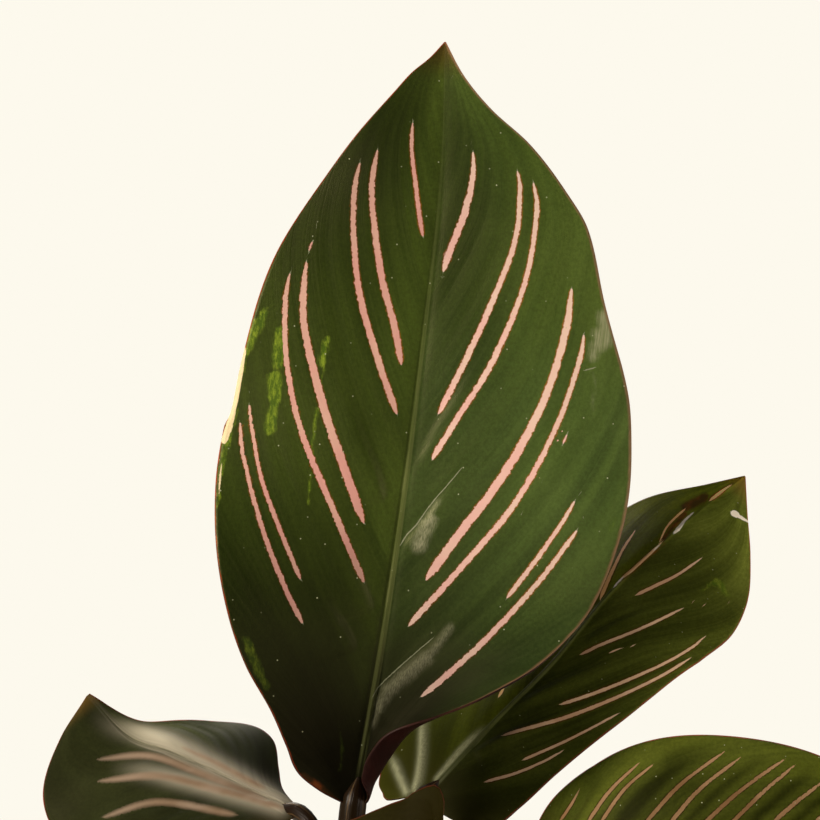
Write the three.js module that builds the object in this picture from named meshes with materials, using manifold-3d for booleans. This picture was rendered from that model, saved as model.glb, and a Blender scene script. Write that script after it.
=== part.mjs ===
import * as THREE from 'three';
import { mergeVertices } from 'three/addons/utils/BufferGeometryUtils.js';
import Module from 'manifold-3d';

// Potted pinstripe calathea: a clay pot, soil with a plain hole for each stalk, and twelve leaves.
// Millimetres, +Z up, origin at the middle of the pot's flat underside. -Y is the front.

const wasm = await Module();
wasm.setup();

// Pot
const potHeight = 105;
const potFootRadius = 40;
const potShoulderRadius = 54;
const potShoulderHeight = 83;
const potBandRadius = 57.5;
const potTopRadius = 60;
const potFloor = 7;
const potWell = [[36, potFloor], [49.5, 82], [53.5, 102]];
const potFloorCurve = 3;
const potLip = 2;
const potChamfer = 1.5;
const potSides = 40;
const drainCount = 4;
const drainRadius = 4.5;
const drainCircle = 22;

// Soil
const soilTop = 94;
const soilCrown = 1.6;
const clearance = 0.3;
const stalkGap = 0.6;

// Stalks
const stalkFoot = 70;
const holeFloor = 69.6;
const holeClearance = 0.45;
const stalkSides = 8;
const stalkRings = 12;
const sheathHeight = 60;
const jointLength = 13;
const slimShare = 0.62;
const swellShare = 0.33;
const stalkLean = 0.55;

// Blades
const bladeThickness = 0.6;
const endCrowding = 0.6;

// Relative half width of a plain ovate leaf, by the share of its length
const ovate = [
  [0, 0.04], [0.02, 0.36], [0.06, 0.58], [0.13, 0.78], [0.25, 0.95], [0.4, 1.0],
  [0.55, 0.95], [0.7, 0.79], [0.83, 0.53], [0.93, 0.22], [1, 0.02],
];

// Leaves that face the front. Each has the points of its midrib from stalk to tip, the way that its upper
// face looks at the base, middle and tip, and by share of length the half widths, the angle at which each
// half leaves the midrib and the further angle through which it curls. Left and right are as seen on the
// upper face with the tip up.
const frontLeaves = [
  {
    name: 'main', foot: [-5, 1], thick: 2.3, across: 6, along: 24,
    midrib: [[-8.8, 0, 220], [-2.8, 2, 250], [1.7, 5, 280], [5.5, 9, 310.3], [8.9, 15, 341],
      [10, 24, 371.6]],
    face: [[0.1, -1, 0.05], [-0.05, -1, 0.1], [-0.1, -1, 0.2]],
    left: [[0, 1.2], [0.012, 6.8], [0.03, 11.6], [0.06, 14.8], [0.1, 19], [0.15, 25.3], [0.21, 30.3],
      [0.29, 34.4], [0.38, 36.9], [0.46, 37.3], [0.54, 36], [0.64, 33.2], [0.79, 23.8], [0.86, 17.4],
      [0.93, 9.2], [1, 0.5]],
    right: [[0, 1.2], [0.02, 7], [0.05, 13], [0.09, 18.5], [0.125, 22], [0.16, 25], [0.2, 30.5], [0.24, 35],
      [0.29, 39.5], [0.36, 42.6], [0.43, 43.8], [0.5, 43], [0.56, 41.2], [0.67, 35.4], [0.755, 30.8],
      [0.8, 25.6], [0.86, 17.4], [0.905, 9.6], [0.95, 3.6], [1, 0.5]],
    foldLeft: [[0, 8], [0.5, 6], [1, 12]],
    curlLeft: [[0, 20], [0.1, 10], [0.5, -12], [1, -10]],
    foldRight: [[0, -10], [0.12, -8], [0.2, 6], [1, 10]],
    curlRight: [[0, 30], [0.03, 150], [0.07, 200], [0.1, 165], [0.13, 110], [0.165, 55], [0.21, 18],
      [0.3, -8], [1, -12]],
    wave: [1.2, 3, 0.5],
  },
  {
    name: 'right', foot: [8, 13], thick: 1.8, across: 4, along: 16,
    midrib: [[5, 16.6, 219.2], [19, 20, 234.1], [31.8, 24, 246.6], [43.7, 29, 260.3], [57.3, 34, 272.5],
      [71.9, 39, 283.7]],
    face: [[-0.4, -0.8, 0.45], [-0.42, -0.78, 0.45], [-0.2, -0.9, 0.3]],
    left: [[0, 1], [0.02, 13], [0.06, 18.5], [0.13, 22], [0.25, 25], [0.4, 26.5], [0.55, 25.5], [0.7, 21],
      [0.82, 14], [0.92, 5.5], [1, 0.5]],
    right: [[0, 1], [0.02, 12], [0.06, 17], [0.12, 18.5], [0.22, 19], [0.35, 20.5], [0.5, 22.5],
      [0.62, 24], [0.72, 24.3], [0.82, 21], [0.89, 14.5], [0.95, 6.5], [1, 0.5]],
    foldLeft: [[0, -5], [0.3, -15], [1, -22]],
    curlLeft: [[0, 0], [0.5, -15], [1, -5]],
    foldRight: [[0, 5], [0.5, -5], [1, -5]],
    curlRight: [[0, -10], [0.5, -20], [1, -10]],
    wave: [0.5, 3, 1],
  },
  {
    name: 'low_right', foot: [14, -1], thick: 1.7, across: 4, along: 14,
    midrib: [[27, -2, 200], [42, -6, 207], [58, -10, 210], [75, -15, 209], [91, -21, 203], [104, -27, 193]],
    face: [[-0.3, -0.85, 0.45], [-0.2, -0.85, 0.5], [0.2, -0.8, 0.5]],
    halfWidth: 28.3,
    foldLeft: [[0, 5]],
    curlLeft: [[0, -20]],
    foldRight: [[0, 5]],
    curlRight: [[0, -20]],
    wave: [0.6, 3, 0],
  },
  {
    name: 'low_left', foot: [-15, -7], thick: 1.6, across: 4, along: 16,
    midrib: [[-18.7, 4, 218.2], [-27.3, 13, 221], [-36.3, 22, 224.4], [-46, 31, 227.6], [-55.2, 39, 230.1],
      [-63.7, 42, 238.4]],
    face: [[-0.1, -0.55, 0.8], [-0.1, -0.6, 0.75], [0.3, -0.8, 0.4]],
    left: [[0, 1], [0.04, 10], [0.12, 19], [0.25, 26], [0.4, 29], [0.55, 30], [0.7, 28], [0.85, 20.5],
      [0.95, 9], [1, 0.5]],
    right: [[0, 1], [0.08, 2.4], [0.16, 5], [0.26, 9.5], [0.38, 14.5], [0.52, 15.3], [0.66, 11.3],
      [0.82, 5.5], [0.93, 2.2], [1, 0.5]],
    foldLeft: [[0, 0], [1, -5]],
    curlLeft: [[0, -20]],
    foldRight: [[0, 5]],
    curlRight: [[0, -20]],
    wave: [0.4, 3, 0],
  },
  {
    name: 'front', foot: [7, -15], thick: 1.6, across: 4, along: 14,
    midrib: [[7, -17, 209], [1.5, -18, 213.5], [-7, -22, 214], [-17, -29, 209], [-28, -39, 200],
      [-38, -51, 188], [-46, -63, 173]],
    face: [[0.5, -0.3, 0.8], [-0.2, -0.4, 0.9], [-0.3, -0.6, 0.7], [-0.4, -0.7, 0.5]],
    left: [[0, 1], [0.04, 9], [0.12, 16], [0.25, 22], [0.4, 24], [0.55, 23], [0.7, 19], [0.85, 12],
      [0.95, 5], [1, 0.5]],
    right: [[0, 1], [0.015, 10], [0.05, 12.5], [0.1, 10.5], [0.2, 9.5], [0.35, 12], [0.55, 16], [0.7, 15],
      [0.85, 10], [0.95, 4.5], [1, 0.5]],
    foldLeft: [[0, 5]],
    curlLeft: [[0, -20]],
    foldRight: [[0, 45], [0.1, 40], [0.2, 20], [0.35, 5], [1, 5]],
    curlRight: [[0, 10], [0.2, 0], [1, -20]],
    wave: [0.6, 3, 0],
  },
];

// Lower leaves all round. Heading is the compass angle from +X, rise and arch are in degrees: the midrib
// starts at its rise and has come down by its arch at the tip. Roll tips the blade to its right.
const lowerLeaves = [
  {
    name: 'back', foot: [1, 15], base: [2, 24, 166],
    heading: 96, rise: 50, arch: 84, length: 114, halfWidth: 31, roll: 6,
  },
  {
    name: 'back_left', foot: [-11, 15], base: [-18, 24, 148],
    heading: 140, rise: 40, arch: 78, length: 104, halfWidth: 28, roll: -8,
  },
  {
    name: 'back_right', foot: [13, 16], base: [20, 23, 156],
    heading: 50, rise: 42, arch: 80, length: 108, halfWidth: 29, roll: 8,
  },
  {
    name: 'left', foot: [-17, -2], base: [-27, -4, 160],
    heading: 188, rise: 38, arch: 76, length: 104, halfWidth: 28, roll: 5,
  },
  {
    name: 'front_left', foot: [-9, -12], base: [-17, -22, 132],
    heading: 236, rise: 30, arch: 72, length: 88, halfWidth: 24, roll: -6,
  },
  {
    name: 'front_right', foot: [10, -12], base: [19, -21, 148],
    heading: 304, rise: 34, arch: 78, length: 100, halfWidth: 27, roll: 6,
  },
  {
    name: 'side_right', foot: [19, 6], base: [30, 8, 138],
    heading: 8, rise: 32, arch: 72, length: 92, halfWidth: 25, roll: -5,
  },
];

// Smooth value through [place, value] stations. Values are numbers or vectors.
function between(stations, place) {
  const last = stations.length - 1;
  if (last === 0) {
    return stations[0][1];
  }
  let i = 0;
  while (i < last - 1 && place > stations[i + 1][0]) {
    i += 1;
  }
  const span = stations[i + 1][0] - stations[i][0];
  const t = Math.min(1, Math.max(0, (place - stations[i][0]) / span));
  const near = 2 * t ** 3 - 3 * t ** 2 + 1;
  const nearSlope = t ** 3 - 2 * t ** 2 + t;
  const farSlope = t ** 3 - t ** 2;
  const blend = (pick) => {
    const slope = (k) => {
      const a = Math.max(k - 1, 0);
      const b = Math.min(k + 1, last);
      return (pick(stations[b][1]) - pick(stations[a][1])) / (stations[b][0] - stations[a][0]);
    };
    return near * pick(stations[i][1]) + (1 - near) * pick(stations[i + 1][1])
      + span * (nearSlope * slope(i) + farSlope * slope(i + 1));
  };
  if (stations[0][1].isVector3) {
    return new THREE.Vector3(blend((v) => v.x), blend((v) => v.y), blend((v) => v.z));
  }
  return blend((v) => v);
}

// The way that a line of stations runs at a place.
function direction(stations, place) {
  const step = 0.001;
  const from = between(stations, Math.max(0, place - step));
  return between(stations, Math.min(1, place + step)).sub(from).normalize();
}

// Stations of points by their share of the way along.
function alongPoints(points) {
  const places = [0];
  for (let i = 1; i < points.length; i += 1) {
    places.push(places[i - 1] + points[i].distanceTo(points[i - 1]));
  }
  return points.map((point, i) => [places[i] / places.at(-1), point]);
}

function evenly(values) {
  return values.map((value, i) => [i / (values.length - 1), new THREE.Vector3(...value)]);
}

// A lower leaf's midrib and face, worked out from its heading, rise, arch and roll.
function lowerLeaf(leaf) {
  const heading = THREE.MathUtils.degToRad(leaf.heading);
  const roll = THREE.MathUtils.degToRad(leaf.roll);
  const steps = 6;
  const points = [leaf.base];
  const faces = [];
  for (let i = 0; i <= steps; i += 1) {
    const pitch = THREE.MathUtils.degToRad(leaf.rise - (leaf.arch * i) / steps);
    const level = Math.cos(pitch);
    const ahead = new THREE.Vector3(level * Math.cos(heading), level * Math.sin(heading), Math.sin(pitch));
    const right = new THREE.Vector3(Math.sin(heading), -Math.cos(heading), 0);
    const up = new THREE.Vector3().crossVectors(right, ahead);
    const face = up.multiplyScalar(Math.cos(roll)).addScaledVector(right, Math.sin(roll));
    faces.push(face.toArray());
    if (i < steps) {
      const from = new THREE.Vector3(...points[i]);
      points.push(from.addScaledVector(ahead, leaf.length / steps).toArray());
    }
  }
  return {
    thick: 1.5, across: 4, along: 14,
    foldLeft: [[0, 12], [0.5, 4], [1, 10]],
    curlLeft: [[0, 15], [0.4, -18], [1, -8]],
    foldRight: [[0, 12], [0.5, 4], [1, 10]],
    curlRight: [[0, 15], [0.4, -18], [1, -8]],
    wave: [1.3, 3, THREE.MathUtils.degToRad(leaf.heading)],
    ...leaf,
    midrib: points,
    face: faces,
  };
}

// Point on the middle surface of a blade. Side is -1 on the left half and 1 on the right, out is the share
// of the half width.
function bladePoint(leaf, place, side, out) {
  const ahead = direction(leaf.ribStations, place);
  const right = new THREE.Vector3().crossVectors(ahead, between(leaf.faceStations, place)).normalize();
  const up = new THREE.Vector3().crossVectors(right, ahead);
  const half = side > 0 ? 'Right' : 'Left';
  const width = between(side > 0 ? leaf.right : leaf.left, place);
  const fold = THREE.MathUtils.degToRad(between(leaf[`fold${half}`], place));
  const curl = THREE.MathUtils.degToRad(between(leaf[`curl${half}`], place)) || 1e-6;
  const [height, count, phase] = leaf.wave;
  const sideways = (width * (Math.sin(fold + curl * out) - Math.sin(fold))) / curl;
  const lift = (width * (Math.cos(fold) - Math.cos(fold + curl * out))) / curl;
  const halfPhase = side > 0 ? phase : phase + 2;
  const fade = Math.min(1, 6 * place * (1 - place));
  const wave = height * Math.sin(2 * Math.PI * count * place + halfPhase) * out ** 2 * fade;
  const point = between(leaf.ribStations, place);
  return point.addScaledVector(right, side * sideways).addScaledVector(up, lift + wave);
}

// Closed solid from an open sheet: the same triangles on both faces and a strip round the edge.
function thicken(sheet, thickness) {
  sheet.computeVertexNormals();
  const place = sheet.attributes.position;
  const normal = sheet.attributes.normal;
  const count = place.count;
  const positions = new Float32Array(count * 6);
  for (let i = 0; i < count; i += 1) {
    for (let axis = 0; axis < 3; axis += 1) {
      const offset = (normal.getComponent(i, axis) * thickness) / 2;
      positions[3 * i + axis] = place.getComponent(i, axis) + offset;
      positions[3 * (count + i) + axis] = place.getComponent(i, axis) - offset;
    }
  }
  const upper = Array.from(sheet.index.array);
  const faces = [...upper];
  const open = new Map();
  for (let i = 0; i < upper.length; i += 3) {
    const corners = upper.slice(i, i + 3);
    faces.push(count + corners[2], count + corners[1], count + corners[0]);
    corners.forEach((corner, k) => {
      const next = corners[(k + 1) % 3];
      if (!open.delete(`${next},${corner}`)) {
        open.set(`${corner},${next}`, [corner, next]);
      }
    });
  }
  for (const [a, b] of open.values()) {
    faces.push(b, a, count + a, b, count + a, count + b);
  }
  const solid = new THREE.BufferGeometry();
  solid.setAttribute('position', new THREE.BufferAttribute(positions, 3));
  solid.setIndex(faces);
  return solid;
}

function bladeGeometry(leaf) {
  const sheet = new THREE.PlaneGeometry(2, 1, 2 * leaf.across, leaf.along);
  const place = sheet.attributes.position;
  for (let i = 0; i < place.count; i += 1) {
    const even = place.getY(i) + 0.5;
    const share = even - (endCrowding * Math.sin(2 * Math.PI * even)) / (2 * Math.PI);
    const out = place.getX(i);
    const point = bladePoint(leaf, share, Math.sign(out) || -1, Math.abs(out));
    place.setXYZ(i, point.x, point.y, point.z);
  }
  return thicken(sheet, bladeThickness);
}

// A stalk stands upright in its hole, leans out and meets its blade in a swollen joint.
function stalkGeometry(leaf) {
  const base = between(leaf.ribStations, 0);
  const ahead = direction(leaf.ribStations, 0);
  const top = base.clone().addScaledVector(ahead, -stalkGap);
  const foot = new THREE.Vector3(...leaf.foot, stalkFoot);
  const collar = new THREE.Vector3(...leaf.foot, soilTop + soilCrown + 2);
  const lean = collar.clone().setZ(collar.z + stalkLean * (base.z - collar.z));
  const bend = top.clone().addScaledVector(ahead, -jointLength);
  const rise = new THREE.CubicBezierCurve3(collar, lean, bend, top);
  const path = alongPoints([foot, collar, ...rise.getPoints(stalkRings - 2).slice(1)]);
  const length = base.z - stalkFoot;
  const geometry = new THREE.CylinderGeometry(1, 1, 1, stalkSides, stalkRings);
  const place = geometry.attributes.position;
  for (let i = 0; i < place.count; i += 1) {
    const share = place.getY(i) + 0.5;
    const centre = between(path, share);
    const forward = direction(path, share);
    const first = new THREE.Vector3(0, -1, 0).cross(forward).normalize();
    const second = new THREE.Vector3().crossVectors(first, forward);
    const radius = stalkRadius(leaf, share * length, length);
    centre.addScaledVector(first, radius * place.getX(i)).addScaledVector(second, radius * place.getZ(i));
    place.setXYZ(i, centre.x, centre.y, centre.z);
  }
  return geometry;
}

// Sheathed and wide at the foot, slim above it, swollen under the blade.
function stalkRadius(leaf, along, length) {
  const sheath = Math.max(0, 1 - along / sheathHeight);
  const joint = Math.max(0, 1 - Math.abs(length - 0.55 * jointLength - along) / jointLength);
  return leaf.thick * (slimShare + swellShare * (sheath + joint));
}

// Closed body with only its corner positions, which is what joins and cuts take.
function bare(geometry) {
  const copy = geometry.clone();
  copy.deleteAttribute('normal');
  copy.deleteAttribute('uv');
  return mergeVertices(copy, 1e-4);
}

function toManifold(geometry) {
  const body = bare(geometry);
  const numProp = 3;
  const vertProperties = new Float32Array(body.attributes.position.array);
  const triVerts = new Uint32Array(body.index.array);
  return new wasm.Manifold(new wasm.Mesh({ numProp, vertProperties, triVerts }));
}

function fromManifold(solid) {
  const mesh = solid.getMesh();
  const geometry = new THREE.BufferGeometry();
  geometry.setAttribute('position', new THREE.BufferAttribute(new Float32Array(mesh.vertProperties), 3));
  geometry.setIndex(Array.from(mesh.triVerts));
  return geometry;
}

function turned(profile) {
  const points = profile.map(([radius, height]) => new THREE.Vector2(radius, height));
  return new THREE.LatheGeometry(points, potSides).rotateX(Math.PI / 2);
}

function upright(x, y, radius, low, high, sides) {
  const peg = new THREE.CylinderGeometry(radius, radius, high - low, sides).rotateX(Math.PI / 2);
  return peg.translate(x, y, (low + high) / 2);
}

function potGeometry() {
  const [wellFoot, wellMiddle, wellTop] = potWell;
  const body = turned([
    [0, 0], [potFootRadius - potChamfer, 0], [potFootRadius, potChamfer],
    [potShoulderRadius, potShoulderHeight], [potBandRadius, potShoulderHeight + potLip],
    [potTopRadius, potHeight - potLip], [potTopRadius - potLip, potHeight],
    [potTopRadius - 2.5 * potLip, potHeight], wellTop, wellMiddle,
    [wellFoot[0] + 1, potFloor + potFloorCurve], [wellFoot[0] - potFloorCurve, potFloor], [0, potFloor],
  ]);
  let pot = toManifold(body);
  for (let i = 0; i < drainCount; i += 1) {
    const angle = ((i + 0.5) * 2 * Math.PI) / drainCount;
    const x = drainCircle * Math.cos(angle);
    const y = drainCircle * Math.sin(angle);
    pot = pot.subtract(toManifold(upright(x, y, drainRadius, -1, potFloor + 1, 20)));
  }
  return fromManifold(pot);
}

function soilGeometry(leaves) {
  const [low, middle, high] = potWell;
  const bottom = potFloor + clearance;
  const shoulder = soilTop - potChamfer;
  const share = (shoulder - middle[1]) / (high[1] - middle[1]);
  const edge = middle[0] + share * (high[0] - middle[0]) - clearance;
  let soil = toManifold(turned([
    [0, bottom], [low[0] - potFloorCurve - clearance, bottom],
    [low[0] + 1 - clearance, bottom + potFloorCurve], [middle[0] - clearance, middle[1]],
    [edge, shoulder], [edge - 2 * potChamfer, soilTop], [edge * 0.5, soilTop + soilCrown * 0.7],
    [0, soilTop + soilCrown],
  ]));
  for (const leaf of leaves) {
    const radius = leaf.thick * (slimShare + swellShare) + holeClearance;
    const peg = upright(leaf.foot[0], leaf.foot[1], radius, holeFloor, soilTop + 10, 12);
    soil = soil.subtract(toManifold(peg));
  }
  return fromManifold(soil);
}

function piece(name, geometry, color, roughness) {
  const material = new THREE.MeshStandardMaterial({ color, roughness, metalness: 0 });
  const mesh = new THREE.Mesh(geometry, material);
  mesh.name = name;
  return mesh;
}

const scaled = (profile, size) => profile.map(([place, share]) => [place, share * size]);
const leaves = [...frontLeaves, ...lowerLeaves.map(lowerLeaf)].map((leaf) => ({
  left: scaled(ovate, leaf.halfWidth),
  right: scaled(ovate, leaf.halfWidth),
  ...leaf,
  ribStations: alongPoints(leaf.midrib.map((point) => new THREE.Vector3(...point))),
  faceStations: evenly(leaf.face),
}));

const plant = new THREE.Group();
plant.add(piece('pot', potGeometry(), 0xb5693f, 0.85));
plant.add(piece('soil', soilGeometry(leaves), 0x2e2119, 1));
for (const leaf of leaves) {
  plant.add(piece(`leaf_${leaf.name}`, bladeGeometry(leaf), 0x2e401c, 0.4));
  plant.add(piece(`stalk_${leaf.name}`, stalkGeometry(leaf), 0x4a3a20, 0.5));
}

export default plant;
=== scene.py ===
import math
import random

import bmesh
import bpy
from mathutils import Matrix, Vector, noise
from mathutils.kdtree import KDTree


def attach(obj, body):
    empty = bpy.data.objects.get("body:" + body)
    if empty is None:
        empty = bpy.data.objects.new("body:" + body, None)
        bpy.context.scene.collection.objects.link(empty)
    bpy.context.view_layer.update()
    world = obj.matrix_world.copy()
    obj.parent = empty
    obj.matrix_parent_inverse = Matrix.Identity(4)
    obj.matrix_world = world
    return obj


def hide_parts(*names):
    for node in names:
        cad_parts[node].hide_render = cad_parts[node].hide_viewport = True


# Potted pinstripe calathea. Lengths are in millimetres and go into the meshes as metres.

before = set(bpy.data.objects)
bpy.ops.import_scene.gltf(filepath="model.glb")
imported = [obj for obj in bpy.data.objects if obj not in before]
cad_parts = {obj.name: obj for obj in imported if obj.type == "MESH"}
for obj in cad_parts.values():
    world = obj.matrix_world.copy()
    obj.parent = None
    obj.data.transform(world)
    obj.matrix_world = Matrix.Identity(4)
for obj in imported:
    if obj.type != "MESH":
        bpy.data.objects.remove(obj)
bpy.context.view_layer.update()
mm = 0.001
scene = bpy.context.scene

print("helpers")


def linear(text):
    # "#rrggbb" as linear light, with an alpha of 1
    shares = [int(text[i:i + 2], 16) / 255 for i in (1, 3, 5)]
    return tuple(c / 12.92 if c <= 0.04045 else ((c + 0.055) / 1.055) ** 2.4 for c in shares) + (1,)


def colours(**texts):
    return {name: linear(text) for name, text in texts.items()}


def feed(tree, sockets, values):
    # each value goes into the socket of its name: a link where it is a socket itself, else a constant
    for key, value in values.items():
        if isinstance(value, bpy.types.NodeSocket):
            tree.links.new(value, sockets[key])
        else:
            sockets[key].default_value = value


def addNode(tree, kind, inputs=None, **settings):
    made = tree.nodes.new(kind)
    for name, value in settings.items():
        setattr(made, name, value)
    feed(tree, made.inputs, inputs or {})
    return made


def calc(tree, operation, a, b=0.0, c=0.0, clamp=False):
    made = addNode(tree, "ShaderNodeMath", {0: a, 1: b, 2: c}, operation=operation, use_clamp=clamp)
    return made.outputs[0]


def times(tree, a, b):
    return calc(tree, "MULTIPLY", a, b)


def minus(tree, a, b):
    return calc(tree, "SUBTRACT", a, b)


def timesPlus(tree, a, b, c):
    return calc(tree, "MULTIPLY_ADD", a, b, c)


def remap(tree, value, low, high, toLow=0.0, toHigh=1.0):
    made = addNode(tree, "ShaderNodeMapRange", {0: value, 1: low, 2: high, 3: toLow, 4: toHigh})
    made.interpolation_type = "SMOOTHSTEP"
    return made.outputs[0]


def mixed(tree, share, a, b, blend="MIX"):
    made = addNode(tree, "ShaderNodeMix", {0: share, 6: a, 7: b}, data_type="RGBA", blend_type=blend)
    return made.outputs[2]


def scaled(tree, colour, share):
    return addNode(tree, "ShaderNodeVectorMath", {0: colour, "Scale": share}, operation="SCALE").outputs[0]


def howLong(tree, vector):
    return addNode(tree, "ShaderNodeVectorMath", {0: vector}, operation="LENGTH").outputs["Value"]


def combined(tree, x, y, z=0.0):
    return addNode(tree, "ShaderNodeCombineXYZ", {0: x, 1: y, 2: z}).outputs[0]


def stretched(tree, vector, scale):
    return addNode(tree, "ShaderNodeMapping", {"Vector": vector, "Scale": scale}).outputs[0]


def noisy(tree, vector, size, detail=2.0, rough=0.5):
    return addNode(tree, "ShaderNodeTexNoise", {
        "Vector": vector, "Scale": size, "Detail": detail, "Roughness": rough}).outputs[0]


def bumped(tree, height, strength, distance):
    return addNode(tree, "ShaderNodeBump", {
        "Height": height, "Strength": strength, "Distance": distance}).outputs[0]


def objectPlace(tree):
    return addNode(tree, "ShaderNodeTexCoord").outputs["Object"]


def readVector(tree, name):
    # a vertex attribute as a vector and as its three numbers
    found = addNode(tree, "ShaderNodeAttribute", attribute_name=name).outputs["Vector"]
    return found, addNode(tree, "ShaderNodeSeparateXYZ", {0: found}).outputs


def floats(*labels):
    return [(label, "Float") for label in labels]


def newGroup(name, inputs, outputs):
    group = bpy.data.node_groups.new(name, "ShaderNodeTree")
    for label, kind in inputs:
        group.interface.new_socket(label, in_out="INPUT", socket_type="NodeSocket" + kind)
    for label, kind in outputs:
        group.interface.new_socket(label, in_out="OUTPUT", socket_type="NodeSocket" + kind)
    return group, group.nodes.new("NodeGroupInput").outputs, group.nodes.new("NodeGroupOutput").inputs


def useGroup(tree, group, inputs):
    return addNode(tree, "ShaderNodeGroup", inputs, node_tree=group).outputs


def newMaterial(name):
    made = bpy.data.materials.new(name)
    made.use_nodes = True
    return made, made.node_tree, made.node_tree.nodes["Principled BSDF"]


def addMesh(name, bm, materials=()):
    mesh = bpy.data.meshes.new(name)
    bm.to_mesh(mesh)
    bm.free()
    for material in materials:
        mesh.materials.append(material)
    made = bpy.data.objects.new(name, mesh)
    scene.collection.objects.link(made)
    return made


def finishPiece(name, bm, materials, node):
    piece = addMesh(name, bm, materials)
    piece.data.shade_smooth()
    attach(piece, "root")
    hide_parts(node)
    return piece


def turnProfile(profile, steps):
    # closed body from the (radius, height) points of a profile that starts and ends on the axis
    bm = bmesh.new()
    verts = [bm.verts.new((radius * mm, 0, height * mm)) for radius, height in profile]
    edges = [bm.edges.new(pair) for pair in zip(verts, verts[1:])]
    bmesh.ops.spin(bm, geom=verts + edges, cent=(0, 0, 0), axis=(0, 0, 1), angle=2 * math.pi,
                   steps=steps, use_merge=True, use_duplicate=False)
    bmesh.ops.remove_doubles(bm, verts=bm.verts, dist=1e-6)
    bmesh.ops.recalc_face_normals(bm, faces=bm.faces)
    return bm


def smoothStep(low, high, value):
    t = min(1, max(0, (value - low) / (high - low)))
    return t * t * (3 - 2 * t)


def between(stations, place):
    # smooth value through (place, value) stations, numbers or vectors
    last = len(stations) - 1
    if last == 0:
        return stations[0][1]
    i = 0
    while i < last - 1 and place > stations[i + 1][0]:
        i += 1

    def slope(k):
        a, b = max(k - 1, 0), min(k + 1, last)
        return (stations[b][1] - stations[a][1]) * (1 / (stations[b][0] - stations[a][0]))

    span = stations[i + 1][0] - stations[i][0]
    t = min(1, max(0, (place - stations[i][0]) / span))
    near = 2 * t ** 3 - 3 * t ** 2 + 1
    slopes = slope(i) * (t ** 3 - 2 * t ** 2 + t) + slope(i + 1) * (t ** 3 - t ** 2)
    return stations[i][1] * near + stations[i + 1][1] * (1 - near) + slopes * span


def direction(stations, place):
    ahead = between(stations, min(1, place + 0.001)) - between(stations, max(0, place - 0.001))
    return ahead.normalized()


def lengthOf(points):
    return sum((b - a).length for a, b in zip(points, points[1:]))


def alongPoints(points):
    # stations: each point with its share of the way along
    places = [0]
    for i in range(1, len(points)):
        places.append(places[i - 1] + (points[i] - points[i - 1]).length)
    return [(place / places[-1], point) for place, point in zip(places, points)]


print("camera, light and floor")

camera = {
    "place": (2.9, -700.0, 297.3),
    "lens": 157.5,
    "sensor": 36.0,
    "clip": (50, 40000),
    "middle": 410.0,  # picture pixels
    "scale": 5.125,  # picture pixels to a millimetre, in the plane of the main leaf's foot
}
studio = {
    "backdrop": "#fdf9ed",  # what the camera sees behind the plant
    "wallLight": 0.45,  # light from the pale wall behind
    "roomLight": 0.03,  # light from the rest of the room
    "floor": "#f3eee1",
    "floorRadius": 9000,
    "floorFade": (350, 1100),  # the floor melts into the backdrop between these distances
    "lamps": {
        "key": {"place": (-1650, -930, 1200), "aim": (0, 0, 290), "size": 630, "power": 74,
                "colour": "#fff4e4"},
        "fill": {"place": (1200, -620, 420), "aim": (10, 0, 260), "size": 600, "power": 10,
                 "colour": "#fff2e2"},
        "back": {"place": (-250, 1300, 980), "aim": (0, 0, 240), "size": 520, "power": 9,
                 "colour": "#fff6e8"},
    },
}


def makeCamera():
    eye = bpy.data.cameras.new("camera")
    eye.lens = camera["lens"]
    eye.sensor_width = camera["sensor"]
    eye.clip_start, eye.clip_end = (limit * mm for limit in camera["clip"])
    viewer = bpy.data.objects.new("camera", eye)
    viewer.location = Vector(camera["place"]) * mm
    viewer.rotation_euler = (math.radians(90), 0, 0)  # level, along +Y
    scene.collection.objects.link(viewer)
    scene.camera = viewer
    scene.view_settings.view_transform = "Standard"
    scene.view_settings.look = "None"


def makeWorld():
    # pale wall behind the plant, a dimmer room in front of it
    world = bpy.data.worlds.new("studio")
    world.use_nodes = True
    scene.world = world
    tree = world.node_tree
    tree.nodes.clear()
    way = addNode(tree, "ShaderNodeTexCoord").outputs[0]
    split = addNode(tree, "ShaderNodeSeparateXYZ", {0: way}).outputs
    light = remap(tree, split["Y"], 0.2, 0.75, studio["roomLight"], studio["wallLight"])
    pale = linear(studio["backdrop"])
    lit = addNode(tree, "ShaderNodeBackground", {"Color": pale, "Strength": light}).outputs[0]
    seen = addNode(tree, "ShaderNodeBackground", {"Color": pale, "Strength": 1.0}).outputs[0]
    ray = addNode(tree, "ShaderNodeLightPath").outputs["Is Camera Ray"]
    both = addNode(tree, "ShaderNodeMixShader", {0: ray, 1: lit, 2: seen}).outputs[0]
    addNode(tree, "ShaderNodeOutputWorld", {0: both})


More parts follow.
